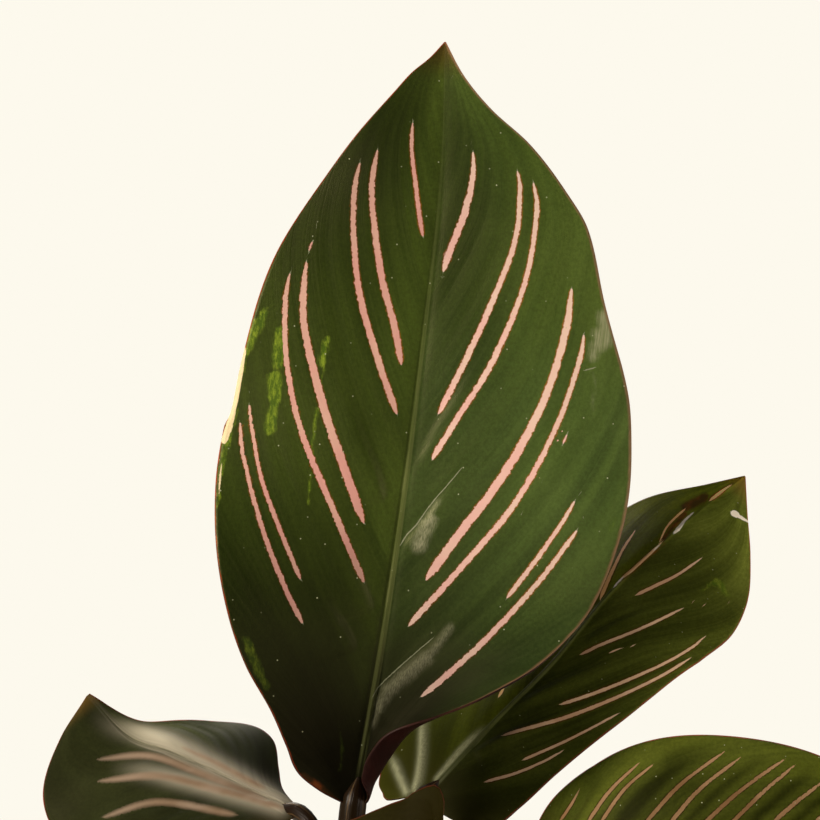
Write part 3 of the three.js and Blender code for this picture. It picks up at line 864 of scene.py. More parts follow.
untinted = (1.0, 1.0, 1.0, 1.0)
leafLook = {
    "deep": "#35441a",
    "mid": "#3e4e1d",
    "pale": "#4a5a26",
    "base": "#1a1503",  # near the stalk: a dark base, partly painted shade
    "tip": "#54401c",
    "halo": "#5f4218",  # beside a stripe
    # the paler ridge of the midrib, partly painted highlight, and the painted shade of the groove beside it
    "rib": "#5c6238",
    "grooveShade": "#1d2408",
    # painted highlight on creases and pleats
    "creaseHighlight": "#77755a",
    "stripe": "#c6aa9d",
    "stripeDeep": "#c79d96",
    "yellow": "#7f922a",
    "yellowDeep": "#3b5213",
    "scar": "#c9b994",
    "stain": "#2f1a0a",
    "stainHot": "#6a3214",
    "rim": "#7a3128",
    "rimRight": "#7a3128",
    "rimLeft": 0.42,  # how wide the red rim of the left half is, and that of the right half
    "rimWide": 0.42,
    # pale specks of dust, and the dull pale of painted glint lines along creases
    "dustAndGlint": "#9da184",
    "leftLightTint": (1.0, 0.97, 0.8, 1.0),  # painted light and shade: how the half left of the midrib is lit and tinted unlike the right one
    "leftLightPink": (0.82, 0.68, 0.67, 1.0),
    "footSheenTint": untinted,  # painted bluish sheen: how the lower part of the right half differs
    "leftOuterShade": 1.0,  # painted shade: how bright the green is out on the left, beside the midrib, and on the right
    "leftInnerShade": 1.0,
    "rightInnerShade": 1.0,
    "rightOuterShade": 1.0,
    "ridgeHalf": 0.72,  # half widths and place of the midrib's ridge and of the painted groove shade beside it, at the stalk
    "ridgeShare": 0.64,
    "lineAt": -1.15,
    "lineHalf": 0.4,
    "period": 14.0,  # millimetres along the midrib from one ripple to the next
    "ripple": 0.12,
    "ragged": 1.0,
    "between": 0.0,  # how much darker the green is away from the stripes
    "hatch": 0.6,  # how broken the painted highlight on creases is
    "soft": 0.08,
    "redness": 0.85,
    "dusty": 1.0,
    "glintLines": 0.0,  # how far the thinnest stripes, painted glint lines along creases, lose their pink
    "rough": 0.36,
    "seed": 0.0,
}
leafTones = {  # what differs from the common look; the keys of leafFinish differ too
    "main": {
        "halo": "#855016", "creaseHighlight": "#a2a184", "rim": "#96361a", "rimRight": "#86654e", "rimWide": 0.9,
        "leftOuterShade": 0.49, "leftInnerShade": 0.78, "rightInnerShade": 0.64, "rightOuterShade": 0.97,
        "footSheenTint": (0.98, 1.0, 1.3, 1.0), "glintLines": 1.0, "gloss": 0.15,
        # round patches of painted shade, and of painted highlight where the depth is below 0
        "paintedLight": [((-0.1, 0), (6, 0.47), 0.92), ((-0.8, 0.82), (0.8, 0.26), 0.6),
                   ((0.45, 0.8), (0.9, 0.26), 0.3), ((0.1, 0.76), (0.3, 0.35), 0.3),
                   ((-0.5, 0.17), (1.1, 0.25), 0.4), ((0.5, 0.12), (0.75, 0.19), 0.85),
                   ((-0.15, 0.47), (0.35, 0.12), 0.3), ((-0.5, 0.08), (0.9, 0.16), 0.5)],
    },
    "right": {
        "deep": "#30370f", "mid": "#434b19", "pale": "#5a6228", "base": "#2a2a0e", "rib": "#69704a",
        "grooveShade": "#0d1204", "stripe": "#d2b397", "stripeDeep": "#c19c7e", "stain": "#4a2611",
        # the half left of the midrib and its stripes are lifted by painted light and tinted
        "stainHot": "#84431f", "scar": "#fff8ec", "leftLightTint": (1.5, 1.5, 0.55, 1.0),
        "leftLightPink": (1.55, 1.5, 1.0, 1.0), "creaseHighlight": "#d2d5ac", "halo": "#4a2c08", "yellow": "#6e7a26",
        "ridgeHalf": 0.8, "ridgeShare": 0.45, "lineAt": 0.0, "lineHalf": 0.34, "ripple": 0.25,
        "period": 17.0, "hatch": 0.4, "ragged": 0.45, "gloss": 0.06, "bump": 0.25,
        "paintedLight": [((0, 0.1), (6, 0.62), 0.42), ((1, 0.75), (0.6, 0.5), -0.6),
                   ((-0.6, 0.9), (1.0, 0.3), -0.2), ((-0.5, 0.14), (0.7, 0.22), 0.5),
                   ((0, 1), (3, 0.28), -1.7), ((1, 0.45), (0.4, 0.3), -0.5)],
    },
    "low_right": {
        "deep": "#353c10", "mid": "#4a5117", "pale": "#565e20", "stripe": "#7a6046", "stripeDeep": "#634930",
        "halo": "#2c1a08", "leftLightTint": untinted, "leftLightPink": untinted, "leftOuterShade": 0.46,
        "leftInnerShade": 0.38, "rightInnerShade": 0.38, "rightOuterShade": 0.46, "ripple": 0.1, "between": 0.66,
        "ragged": 0.4, "gloss": 0.05,
        "paintedLight": [((-1, 0.5), (0.45, 1.2), -0.9), ((-0.9, 0.12), (0.9, 0.22), -1.6)],
    },
    "low_left": {
        # its wide pale rib and its pleat crests are a painted sheen along the midrib and pleats
        "deep": "#16190a", "mid": "#1f2310", "pale": "#2c3018", "rib": "#8f8878", "stripe": "#7f6e5e",
        "stripeDeep": "#6f5c4a", "leftLightTint": untinted, "leftLightPink": untinted,
        "ridgeHalf": 2.4, "ridgeShare": 0.75, "lineAt": 0.0, "lineHalf": 0.0, "soft": 1.1, "ragged": 0.2,
        "creaseHighlight": "#9a9483", "halo": "#2e2716", "hatch": 0.0, "dusty": 0.0, "rough": 0.5, "gloss": 0.05,
        "bump": 0.04,
        "paintedLight": [((0.6, 0.73), (0.9, 0.3), -1.8), ((0.7, 0.24), (1.0, 0.34), 0.85)],
    },
    "front": {
        "deep": "#1f1a07", "mid": "#29270d", "pale": "#343517", "leftLightTint": untinted,
        "leftLightPink": untinted, "redness": 0.4, "dusty": 0.0, "gloss": 0.15, "paintedLight": [],
    },
    "plain": {
        "leftLightPink": untinted, "leftOuterShade": 0.85, "leftInnerShade": 0.8, "rightInnerShade": 0.85,
        "paintedLight": [((0, 0), (6, 0.5), 0.5)],
    },
}
leafFinish = {"gloss": 0.22, "sheen": (1.0, 0.91, 0.45, 1.0), "bump": 0.2}


def bladeSockets(tree):
    # what the blade's vertex attributes say, by name
    sockets = {}
    for name, parts in bladeVectors.items():
        sockets.update(zip(parts, readVector(tree, name)[1]))
    for name in bladeNumbers:
        sockets[name] = addNode(tree, "ShaderNodeAttribute", attribute_name=name).outputs["Fac"]
    return sockets


def mottle(group, leaf, kind):
    return useGroup(group, leafMottle, {"Off": leaf[kind], "Place": leaf["place"], **mottles[kind]})["Mask"]


def greenTissue(group, look, leaf, fibre, streaks):
    # bands, blotches and streaks of green, dark brown at the stalk with partly painted shade, brown at the
    # tip and darker between the stripes
    green = mixed(group, remap(group, fibre["Bands"], 0.32, 0.68), look["deep"], look["mid"])
    blotch = remap(group, noisy(group, leaf["place"], 38, 3.0), 0.42, 0.72)
    green = mixed(group, times(group, blotch, 0.5), green, look["pale"])
    green = mixed(group, times(group, streaks, 0.24), green, look["pale"])
    fine = remap(group, noisy(group, leaf["place"], 1500, 2.0, 0.7), 0.3, 0.7, 0.87, 1.13)
    ripple = minus(group, 1.0, times(group, fibre["Ripples"], look["ripple"]))
    apart = remap(group, leaf["apart"], 1.0, 3.0)
    apart = times(group, apart, remap(group, calc(group, "ABSOLUTE", leaf["across"]), 0.95, 0.6))
    apart = minus(group, 1.0, times(group, apart, look["between"]))
    green = scaled(group, green, times(group, fine, times(group, ripple, apart)))
    green = mixed(group, remap(group, leaf["along"], 0.17, 0.04, 0.0, 0.9), green, look["base"])
    return mixed(group, remap(group, leaf["along"], 0.94, 1.0, 0.0, 0.8), green, look["tip"])


def pinkTissue(group, look, leaf, onRight):
    # the pink of the stripes under painted light; the thinnest ones are painted glint lines along creases,
    # in a dull pale
    cloud = remap(group, noisy(group, leaf["place"], 120, 2.0), 0.35, 0.7)
    pink = mixed(group, cloud, look["stripeDeep"], look["stripe"])
    pink = mixed(group, remap(group, leaf["share"], 0.45, 0.95), pink, look["stripe"])
    pink = mixed(group, 1.0, pink, mixed(group, onRight, look["leftLightPink"], untinted), "MULTIPLY")
    thin = remap(group, leaf["half"], 0.15, 0.13, 0.0, look["glintLines"])
    pink = mixed(group, thin, pink, scaled(group, look["dustAndGlint"], 0.5))
    return scaled(group, pink, timesPlus(group, look["Light"], 0.45, 0.55))


def halvesLight(group, look, leaf, onRight, green):
    # painted light and shade over the two halves, and their tint
    left = remap(group, leaf["across"], -0.38, -0.04, look["leftOuterShade"], look["leftInnerShade"])
    right = remap(group, leaf["across"], 0.25, 0.6, look["rightInnerShade"], look["rightOuterShade"])
    turn = remap(group, leaf["across"], -0.04, 0.04)
    sides = timesPlus(group, right, turn, times(group, left, minus(group, 1.0, turn)))
    foot = mixed(group, remap(group, leaf["along"], 0.72, 0.5), untinted, look["footSheenTint"])
    green = mixed(group, 1.0, green, mixed(group, onRight, look["leftLightTint"], foot), "MULTIPLY")
    return scaled(group, green, times(group, sides, look["Light"]))


def creasedTissue(group, look, leaf, fibre, ridge, green):
    # the ridge of the midrib is paler, partly a painted highlight, and creases, pleats and spots of painted
    # sheen carry a painted highlight
    rib = scaled(group, look["rib"], timesPlus(group, look["Light"], 0.55, 0.45))
    green = mixed(group, times(group, ridge, look["ridgeShare"]), green, rib)
    creaseHighlight = calc(group, "MAXIMUM", leaf["creaseHighlight"], mottle(group, leaf, "paintedSheen"))
    raggedAndSheen = minus(group, 0.8, times(group, remap(group, fibre["Cross"], 0.7, 0.3), look["hatch"]))
    dull = scaled(group, look["creaseHighlight"], timesPlus(group, look["Light"], 0.6, 0.2))
    return mixed(group, times(group, creaseHighlight, raggedAndSheen), green, dull)


def damagedTissue(group, look, leaf, green):
    # yellowed and burnt patches
    grain = stretched(group, leaf["place"], (1, 1, 0.4))
    sick = remap(group, noisy(group, grain, 1300, 5.0, 0.75), 0.4, 0.7)
    sick = mixed(group, sick, look["yellowDeep"], look["yellow"])
    sick = scaled(group, sick, timesPlus(group, look["Light"], 0.85, 0.15))
    green = mixed(group, times(group, mottle(group, leaf, "yellow"), 0.75), green, sick)
    burnt = remap(group, noisy(group, leaf["place"], 420, 3.0), 0.42, 0.68)
    burnt = mixed(group, burnt, look["stain"], look["stainHot"])
    return mixed(group, times(group, mottle(group, leaf, "stain"), 0.85), green, burnt)


def redMargin(group, look, leaf, onRight, streaks, below):
    wide = minus(group, look["rimWide"], look["rimLeft"])
    wide = timesPlus(group, onRight, wide, look["rimLeft"])
    rim = remap(group, timesPlus(group, streaks, 0.2, leaf["edge"]), wide, 0.1)
    red = mixed(group, onRight, look["rim"], look["rimRight"])
    red = scaled(group, red, timesPlus(group, look["Light"], 0.6, 0.4))
    return mixed(group, times(group, rim, look["redness"]), below, red)


def makeSkinGroup():
    # the whole upper face of a leaf, from the blade's attributes
    kinds = [(key, "Float" if isinstance(value, float) else "Color") for key, value in leafLook.items()]
    group, look, result = newGroup("leafSkin", [("Light", "Float"), *kinds], [
        ("Color", "Color"), *floats("Roughness", "Height")])
    leaf = {"place": objectPlace(group), **bladeSockets(group)}
    along, side, half = leaf["along"], leaf["side"], leaf["half"]
    onRight = remap(group, side, -0.8, 0.8)
    fibre = useGroup(group, leafFibre, {
        "Vein": leaf["vein"], "Side": side, "Seed": look["seed"], "Period": look["period"]})
    streaks = remap(group, fibre["Streaks"], 0.3, 0.75)
    green = greenTissue(group, look, leaf, fibre, streaks)
    midrib = useGroup(group, leafMidrib, {"Side": side, "Along": along, "RidgeHalf": look["ridgeHalf"],
                                          "LineAt": look["lineAt"], "LineHalf": look["lineHalf"]})
    ridge = times(group, midrib["Ridge"], remap(group, along, 1.0, 0.3, 0.1, 1.0))
    ridge = times(group, ridge, remap(group, along, 0.02, 0.08))
    line = times(group, midrib["Line"], remap(group, along, 0.95, 0.5, 0.0, 0.5))
    green = mixed(group, line, green, look["grooveShade"])
    stripe = useGroup(group, leafStripe, {"Off": leaf["off"], "Half": half, "Ragged": look["ragged"],
                                          "Soft": look["soft"], "Place": leaf["place"]})
    halo = times(group, stripe["Halo"], remap(group, half, 0.14, 0.26, 0.0, 0.85))
    green = mixed(group, halo, green, look["halo"])
    green = halvesLight(group, look, leaf, onRight, green)
    green = creasedTissue(group, look, leaf, fibre, ridge, green)
    green = damagedTissue(group, look, leaf, green)
    final = mixed(group, stripe["Mask"], green, pinkTissue(group, look, leaf, onRight))
    speck = useGroup(group, leafDust, {"Side": side, "Along": along, "Seed": look["seed"]})["Mask"]
    final = mixed(group, times(group, speck, look["dusty"]), final, look["dustAndGlint"])
    final = redMargin(group, look, leaf, onRight, streaks, final)
    final = mixed(group, mottle(group, leaf, "scar"), final, look["scar"])
    rough = timesPlus(group, streaks, 0.14, look["rough"])
    shaded = calc(group, "SUBTRACT", 1.0, look["Light"], clamp=True)
    rough = calc(group, "ADD", rough, remap(group, shaded, 0.5, 0.95, 0.0, 0.35))
    feed(group, result, {"Color": final, "Roughness": timesPlus(group, stripe["Mask"], 0.1, rough),
                         "Height": timesPlus(group, stripe["Mask"], -0.15, fibre["Height"])})
    return group


leafSkin = makeSkinGroup()


def leafTop(name, seed):
    tones = {**leafFinish, **leafTones[name]}
    material, tree, shader = newMaterial("leafTop_" + name)
    spot = readVector(tree, "leafPlace")[0]
    # painted light and shade over the leaf, one round patch after another
    light = addNode(tree, "ShaderNodeValue").outputs[0]
    light.default_value = 1.0
    for middle, size, depth in tones["paintedLight"]:
        light = useGroup(tree, leafPaintedLight, {"Light": light, "Spot": spot, "Middle": (*middle, 0),
                                           "Size": (*size, 1), "Depth": depth})["Light"]
    look = {key: tones.get(key, value) for key, value in leafLook.items()}
    look["seed"] = seed
    look = {key: linear(value) if isinstance(value, str) else value for key, value in look.items()}
    skin = useGroup(tree, leafSkin, {"Light": light, **look})
    feed(tree, shader.inputs, {
        "Base Color": skin["Color"], "Roughness": skin["Roughness"],
        "Specular IOR Level": tones["gloss"], "Specular Tint": tones["sheen"],
        "Normal": bumped(tree, skin["Height"], tones["bump"], 0.0002),
    })
    return material


def leafUnder():
    look = colours(deep="#120504", pale="#2c0e0b", rib="#3f3a28")
    material, tree, shader = newMaterial("leafUnder")
    vein, _, side = readVector(tree, "grain")[1]
    fibre = useGroup(tree, leafFibre, {"Vein": vein, "Side": side, "Seed": 7.0,
                                       "Period": leafLook["period"]})
    cloud = remap(tree, noisy(tree, objectPlace(tree), 60, 3.0), 0.35, 0.7)
    share = timesPlus(tree, remap(tree, fibre["Streaks"], 0.3, 0.75), 0.4, times(tree, cloud, 0.6))
    wine = mixed(tree, share, look["deep"], look["pale"])
    ribbon = remap(tree, calc(tree, "ABSOLUTE", side), 1.1, 0.5)
    wine = mixed(tree, times(tree, ribbon, 0.6), wine, look["rib"])
    feed(tree, shader.inputs, {"Base Color": wine, "Roughness": 0.5, "Specular IOR Level": 0.15,
                               "Normal": bumped(tree, fibre["Height"], 0.35, 0.0003)})
    return material


def leafRim():
    look = colours(deep="#1c0a06", pale="#30140c")
    material, tree, shader = newMaterial("leafRim")
    tone = remap(tree, noisy(tree, objectPlace(tree), 90, 2.0), 0.35, 0.65)
    red = mixed(tree, tone, look["deep"], look["pale"])
    feed(tree, shader.inputs, {"Base Color": red, "Roughness": 0.5, "Specular IOR Level": 0.15})
    return material


leafUnderside = leafUnder()
leafMargin = leafRim()

print("leaf blades")

blade = {
    "thickness": 1.4,  # of the midrib at the stalk; the rest of the blade is ribShare of it
    "ribShare": 0.3,
    "ribHalf": 0.9,
    "rise": 0.2,  # the upper face above the solid's middle
    "endCrowding": 0.6,
    "narrow": 12,  # the relief fades towards the tip once the blade is narrower than this
    "groove": 0.42,  # depth and half width of the groove along the midrib
    "grooveHalf": 1.3,
    "ridge": 0.36,  # height and half width of the ridge in it
    "ridgeHalf": 0.42,
    "pillow": 0.16,  # swelling between side veins
    "veins": 13,
    "uneven": 0.5,
    "unevenSize": 22,
}
markKinds = ("yellow", "scar", "stain", "white", "paintedSheen")
# Sharp folds in picture pixels from the midrib outwards: 1 for the right half and -1 for the left, height
# and width in millimetres, then the line. The surface drops into the line from the tip side and stands up
# out of it towards the stalk.
pictureFolds = {
    "main": [
        (1, 0.25, 6, [(400.7, 544.3), (410, 531.4), (421.4, 518.6), (434.3, 501.4), (447, 485.7),
                      (459, 473)]),
        (1, 0.45, 8, [(369.3, 727), (371.4, 713), (374.3, 696), (380, 684.3), (393, 673), (407, 660),
                      (421.4, 648.6), (430, 640), (441.4, 628.6), (462, 610)]),
        (-1, 0.4, 8, [(392, 500), (382, 466), (366, 430), (350, 380)]),
        (-1, 0.3, 9, [(380, 610), (362, 560), (340, 500)]),
        (-1, 0.35, 7, [(361, 648), (352, 628), (333, 603), (322, 585)]),
        (1, 0.2, 8, [(414, 462), (428, 430), (452, 392), (478, 345)]),
        (1, 0.3, 5, [(588, 420), (597, 385), (604, 350), (603, 325)]),
    ],
    "right": [
        (1, 0.4, 7, [(470, 748), (520, 722), (570, 706)]),
        (1, 0.35, 7, [(520, 696), (575, 668), (630, 650)]),
        (1, 0.3, 7, [(580, 636), (630, 610), (680, 590)]),
    ],
}
# Round pleats in picture pixels: height and half width in millimetres, then the line.
# Their crests carry a painted highlight.
pictureRidges = {
    "right": [
        (0.9, 0.9, [(415, 797), (420, 778), (423, 757), (424, 735), (425, 700)]),
        (0.8, 0.9, [(410, 798), (403, 782), (396, 766), (388, 750)]),
        (0.3, 0.6, [(434, 784), (446, 769), (461, 751), (490, 722)]),
    ],
    "low_left": [
        (0.5, 1.9, [(292, 810), (269, 794), (212, 763), (173, 746), (137, 733), (106, 723), (91, 700)]),
        (0.45, 1.7, [(292, 812), (240, 798), (190, 783), (140, 772), (104, 770)]),
    ],
}


def foldRelief(seen, side, creases):
    # height of the sharp folds on this half
    height = 0
    for half, rise, width, tree in creases:
        if half == side:
            off, share = besideStroke(seen, tree)[::2]
            off *= -side / camera["scale"]
            dip = smoothStep(-width, 0, off) * (1 - smoothStep(0, 0.25 * width, off))
            bank = smoothStep(0, 0.27 * width, off) * (1 - smoothStep(0.3 * width, 1.6 * width, off))
            ends = smoothStep(-0.02, 0.08, share) * (1 - smoothStep(0.45, 1, share))
            height += (bank - 0.8 * dip) * rise * ends
    return height


def ridgeRelief(seen, ridges):
    # height of the round pleats here, and how much painted highlight lies on their crests
    height, raggedAndSheen = 0, 0
    for rise, width, tree in ridges:
        off, share = besideStroke(seen, tree)[::2]
        ends = smoothStep(-0.02, 0.08, share) * (1 - smoothStep(0.6, 1, share))
        crest = math.exp(-(off / camera["scale"] / width) ** 2) * ends
        height += rise * crest
        raggedAndSheen = max(raggedAndSheen, crest)
    return height, raggedAndSheen


def relief(leaf, row, side, out, vein):
    # groove and ridge of the midrib, the swelling between side veins and a soft unevenness
    place = row["place"]
    off = out * row["halves"][side]["width"]
    tipFade = 1 - 0.9 * place
    ends = min(1, 8 * place) * min(1, 4 * (1 - place)) ** 1.5
    height = -blade["groove"] * math.exp(-(off / blade["grooveHalf"]) ** 2) * tipFade * ends
    height += blade["ridge"] * math.exp(-(off / blade["ridgeHalf"]) ** 2) * tipFade * ends
    swell = abs(math.sin(math.pi * vein * blade["veins"])) ** 0.6
    inner = smoothStep(0.02, 0.2, out) * (1 - smoothStep(0.55, 0.97, out))
    plain = smoothStep(0.1, 0.3, place) * (1 - smoothStep(0.55, 0.85, place))
    height += blade["pillow"] * (swell - 0.6) * inner * ends * plain
    point = Vector((off * side, place * leaf["size"], leaf["foot"][0] * 7.0)) / blade["unevenSize"]
    return height + blade["uneven"] * noise.noise(point) * smoothStep(0, 0.15, out) * (1 - out ** 4) * ends


def bladeDrawing(name, leaf, seed):
    # strokes for what is drawn on a blade: in picture pixels where the picture shows it, else in millimetres
    drawn = name in pictureStripes
    unit = 1 / camera["scale"] if drawn else 1.0
    stripes = pictureStripes[name] if drawn else ruleStripes(leaf, seed)
    marks = {}
    for kind in markKinds:
        strokes = pictureMarks.get(name, {}).get(kind)
        marks[kind] = strokeTree(strokes, 0.5, kind == "white") if strokes else None
    creases = [(half, rise, width, strokeTree([(1, line)], 1.0, False))
               for half, rise, width, line in pictureFolds.get(name, [])]
    ridges = [(rise, width, strokeTree([(1, line)], 1.0, False))
              for rise, width, line in pictureRidges.get(name, [])]
    return {"drawn": drawn, "unit": unit, "stripes": strokeTree(stripes, 0.2 / unit, True),
            "marks": marks, "creases": creases, "ridges": ridges}


def bladeRows(leaf):
    # stations of the blade, closer together towards both ends
    rows = []
    for i in range(leaf["along"] + 1):
        even = i / leaf["along"]
        share = even - blade["endCrowding"] * math.sin(2 * math.pi * even) / (2 * math.pi)
        rows.append(bladeRow(leaf, min(1, max(0, share))))
    return rows


def makeBlade(name, leaf, seed):
    drawing = bladeDrawing(name, leaf, seed)
    unit, marks = drawing["unit"], drawing["marks"]
    rows = bladeRows(leaf)
    widest = max(width for half in ("left", "right") for _, width in leaf[half])
    spacing = max(leaf["size"] / leaf["along"], widest / leaf["across"]) * 1.1
    bm = bmesh.new()
    bmesh.ops.create_grid(bm, x_segments=2 * leaf["across"], y_segments=leaf["along"], size=1)
    layers = {key: bm.verts.layers.float_vector.new(key) for key in bladeVectors}
    layers.update({key: bm.verts.layers.float.new(key) for key in bladeNumbers})
    ribLayer = bm.verts.layers.deform.verify()
    heights = {}
    for vert in bm.verts:
        row = rows[round((vert.co.y + 1) * leaf["along"] / 2)]
        place = row["place"]
        side = 1 if vert.co.x > 1e-6 else -1
        out = abs(vert.co.x)
        out *= 0.6 + 0.4 * out ** 1.5  # closer together beside the midrib
        width = row["halves"][side]["width"]
        vert.co = bladePoint(row, side, out)
        flat = Vector((side * out * width, place * leaf["size"], 0))
        seen = inPicture(vert.co) if drawing["drawn"] else flat
        off, half, share = besideStroke(seen, drawing["stripes"])
        near = abs(off) * unit < half * unit + spacing
        yellow, scar, stain, white, paintedSheen = (markAt(seen, marks[kind]) * unit for kind in markKinds)
        raised, raggedAndSheen = ridgeRelief(seen, drawing["ridges"])
        inside = smoothStep(0, 0.03, out) * (1 - out ** 6)
        vein = veinFoot(place, out)
        edge = min((1 - out) * width, (1 - place) * leaf["size"] * 0.5 + 0.5)
        # the grain's middle number is the painted highlight on pleat crests
        vert[layers["grain"]] = (vein * leaf["size"], raggedAndSheen * inside, side * out * width)
        vert[layers["leafPlace"]] = (side * out, place, edge)
        vert[layers["stripe"]] = (off * unit, half * unit if near else -1, share)
        vert[layers["marks"]] = (yellow, min(scar, white), stain)
        vert[layers["apart"]] = abs(off) * unit
        vert[layers["paintedSheen"]] = paintedSheen
        thick = math.exp(-(out * width / blade["ribHalf"]) ** 2) * (1 - place) ** 0.5
        vert[ribLayer][0] = max(blade["ribShare"], thick)
        height = blade["rise"] + relief(leaf, row, side, out, vein)
        height += (foldRelief(seen, side, drawing["creases"]) + raised) * inside
        if place > 0.5:
            height *= smoothStep(0, blade["narrow"], row["halves"][1]["width"] + row["halves"][-1]["width"])
        heights[vert] = height
    bm.normal_update()
    for vert, height in heights.items():
        vert.co = (vert.co + vert.normal * height) * mm
    tone = name if name in leafTones else "plain"
    if tone not in topMaterials:
        topMaterials[tone] = leafTop(tone, float(seed))
    piece = finishPiece("blade_" + name, bm, [topMaterials[tone], leafUnderside, leafMargin],
                        "leaf_" + name)
    piece.vertex_groups.new(name="rib")
    shell = piece.modifiers.new("thickness", "SOLIDIFY")
    shell.thickness = blade["thickness"] * mm
    shell.offset = -1
    shell.vertex_group = "rib"
    shell.material_offset = 1
    shell.material_offset_rim = 2


topMaterials = {}
for seed, (name, leaf) in enumerate(leaves.items()):
    makeBlade(name, leaf, seed + 3)

print("stalks")

stalk = {
    "foot": 70,  # height of its lower end, in the soil
    "collar": 97.6,  # height where it comes out of the soil and starts to bend
    "lean": 0.55,  # how much of the rise it stays upright for
    "sheathHeight": 60,
    "jointLength": 13,
    "into": 7.0,  # how far it runs on as the midrib's root
    "tip": 0.35,
    "slim": 0.62,  # radius as a share of the leaf's thickness, and what the sheath and the joint add
    "sheath": 0.33,
    "joint": 0.5,
    "sides": 20,
    "rings": 90,
}


def stalkMaterial():
    look = colours(green="#2f2f14", wine="#24100b", sheath="#454020", joint="#160b04", glint="#4a3a24")
    material, tree, shader = newMaterial("stalkSkin")
    spot, (_, along, joint) = readVector(tree, "stalkPlace")
    lines = noisy(tree, stretched(tree, spot, (2.6, 0.03, 1)), 1.0, 3.0, 0.6)
    cloud = noisy(tree, objectPlace(tree), 60, 2.0)
    tone = remap(tree, timesPlus(tree, cloud, 0.5, times(tree, lines, 0.5)), 0.38, 0.62)
    skin = mixed(tree, tone, look["green"], look["wine"])
    skin = mixed(tree, remap(tree, along, 60.0, 20.0, 0.0, 0.6), skin, look["sheath"])
    # the swollen joint: dark brown with painted glints along its streaks
    swollen = mixed(tree, remap(tree, lines, 0.56, 0.68), look["joint"], look["glint"])
    feed(tree, shader.inputs, {
        "Base Color": mixed(tree, times(tree, joint, 0.9), skin, swollen),
        "Roughness": remap(tree, joint, 0.0, 1.0, 0.5, 0.36), "Specular IOR Level": 0.1,
        "Normal": bumped(tree, lines, 0.5, 0.0006),
    })
    return material


def stalkPath(leaf):
    # stations of the stalk's middle from the soil into the blade, and its length
    base = leaf["rib"][0][1]
    collar = Vector((*leaf["foot"], stalk["collar"]))
    lean = Vector((collar.x, collar.y, collar.z + stalk["lean"] * (base.z - collar.z)))
    bend = base - direction(leaf["rib"], 0) * stalk["jointLength"]
    points = [Vector((*leaf["foot"], stalk["foot"]))]
    for i in range(13):
        t = i / 12
        parts = ((1 - t) ** 3, 3 * t * (1 - t) ** 2, 3 * t * t * (1 - t), t ** 3)
        points.append(collar * parts[0] + lean * parts[1] + bend * parts[2] + base * parts[3])
    for i in range(1, 5):
        place = stalk["into"] * i / 4 / leaf["size"]
        face = between(leaf["looks"], place).normalized()
        points.append(between(leaf["rib"], place) + face * (blade["rise"] - 0.8 * i / 4))
    return alongPoints(points), lengthOf(points)


def makeStalk(name, leaf):
    path, total = stalkPath(leaf)
    length = total - stalk["into"]
    jointEnd = length - 0.55 * stalk["jointLength"]
    bm = bmesh.new()
    bmesh.ops.create_cone(bm, cap_ends=True, segments=stalk["sides"], radius1=1, radius2=1, depth=1)
    uprights = [edge for edge in bm.edges if abs(edge.verts[0].co.z - edge.verts[1].co.z) > 0.5]
    bmesh.ops.subdivide_edges(bm, edges=uprights, cuts=stalk["rings"], use_grid_fill=True)
    layer = bm.verts.layers.float_vector.new("stalkPlace")
    for vert in bm.verts:
        share = min(1, max(0, vert.co.z + 0.5))
        angle = math.atan2(vert.co.y, vert.co.x)
        along = share * total
        sheath = max(0, 1 - along / stalk["sheathHeight"])
        joint = smoothStep(jointEnd - stalk["jointLength"], jointEnd, along)
        radius = leaf["thick"] * (stalk["slim"] + stalk["sheath"] * sheath + stalk["joint"] * joint)
        radius += (stalk["tip"] - radius) * smoothStep(length + 0.1 * stalk["into"], total, along)
        radius *= 1 + 0.04 * math.cos(5 * angle) + 0.05 * noise.noise(Vector((angle, along / 9, 3)))
        forward = direction(path, share)
        first = Vector((0, -1, 0)).cross(forward).normalized()
        second = first.cross(forward)
        flat = 1 - 0.12 * sheath
        spot = between(path, share) + first * (radius * math.cos(angle))
        spot += second * (flat * radius * math.sin(angle))
        vert[layer] = (angle, along, joint)
        vert.co = spot * mm
    bmesh.ops.recalc_face_normals(bm, faces=bm.faces)
    finishPiece("stem_" + name, bm, [stalkSkin], "stalk_" + name)


stalkSkin = stalkMaterial()
for name, leaf in leaves.items():
    makeStalk(name, leaf)

print("soil")

soil = {
    "bottom": (33, 7.3),  # radius and height
    "middle": (49.2, 82),
    "edge": (51.0, 92.5),
    "top": 94,
    "crown": 1.0,
    "dip": 1.6,  # at the pot's wall
    "settled": 0.7,  # the whole top below the solid's
    "rings": 60,
    "steps": 150,
    "crumbs": (420, 0.8, 2.0),  # count and sizes from and to
    "chips": (70, 1.6, 3.4),
    "perlite": (60, 0.7, 1.5),
    "margin": 49,  # how far out the lumps lie, and how far from the middle of a stalk
    "stalkRoom": 2.6,
}


def makeEarthGroup():
    # mottled colour and rough relief for a size of grain
    group, given, result = newGroup("earthGrain", [("Dark", "Color"), ("Pale", "Color"), ("Size", "Float")],
                                    [("Color", "Color"), ("Height", "Float")])
    place = objectPlace(group)
    tone = remap(group, noisy(group, place, given["Size"], 5.0, 0.65), 0.35, 0.7)
    height = noisy(group, place, times(group, given["Size"], 3.0), 5.0, 0.7)
    feed(group, result, {"Color": mixed(group, tone, given["Dark"], given["Pale"]), "Height": height})
    return group


earthGrain = makeEarthGroup()


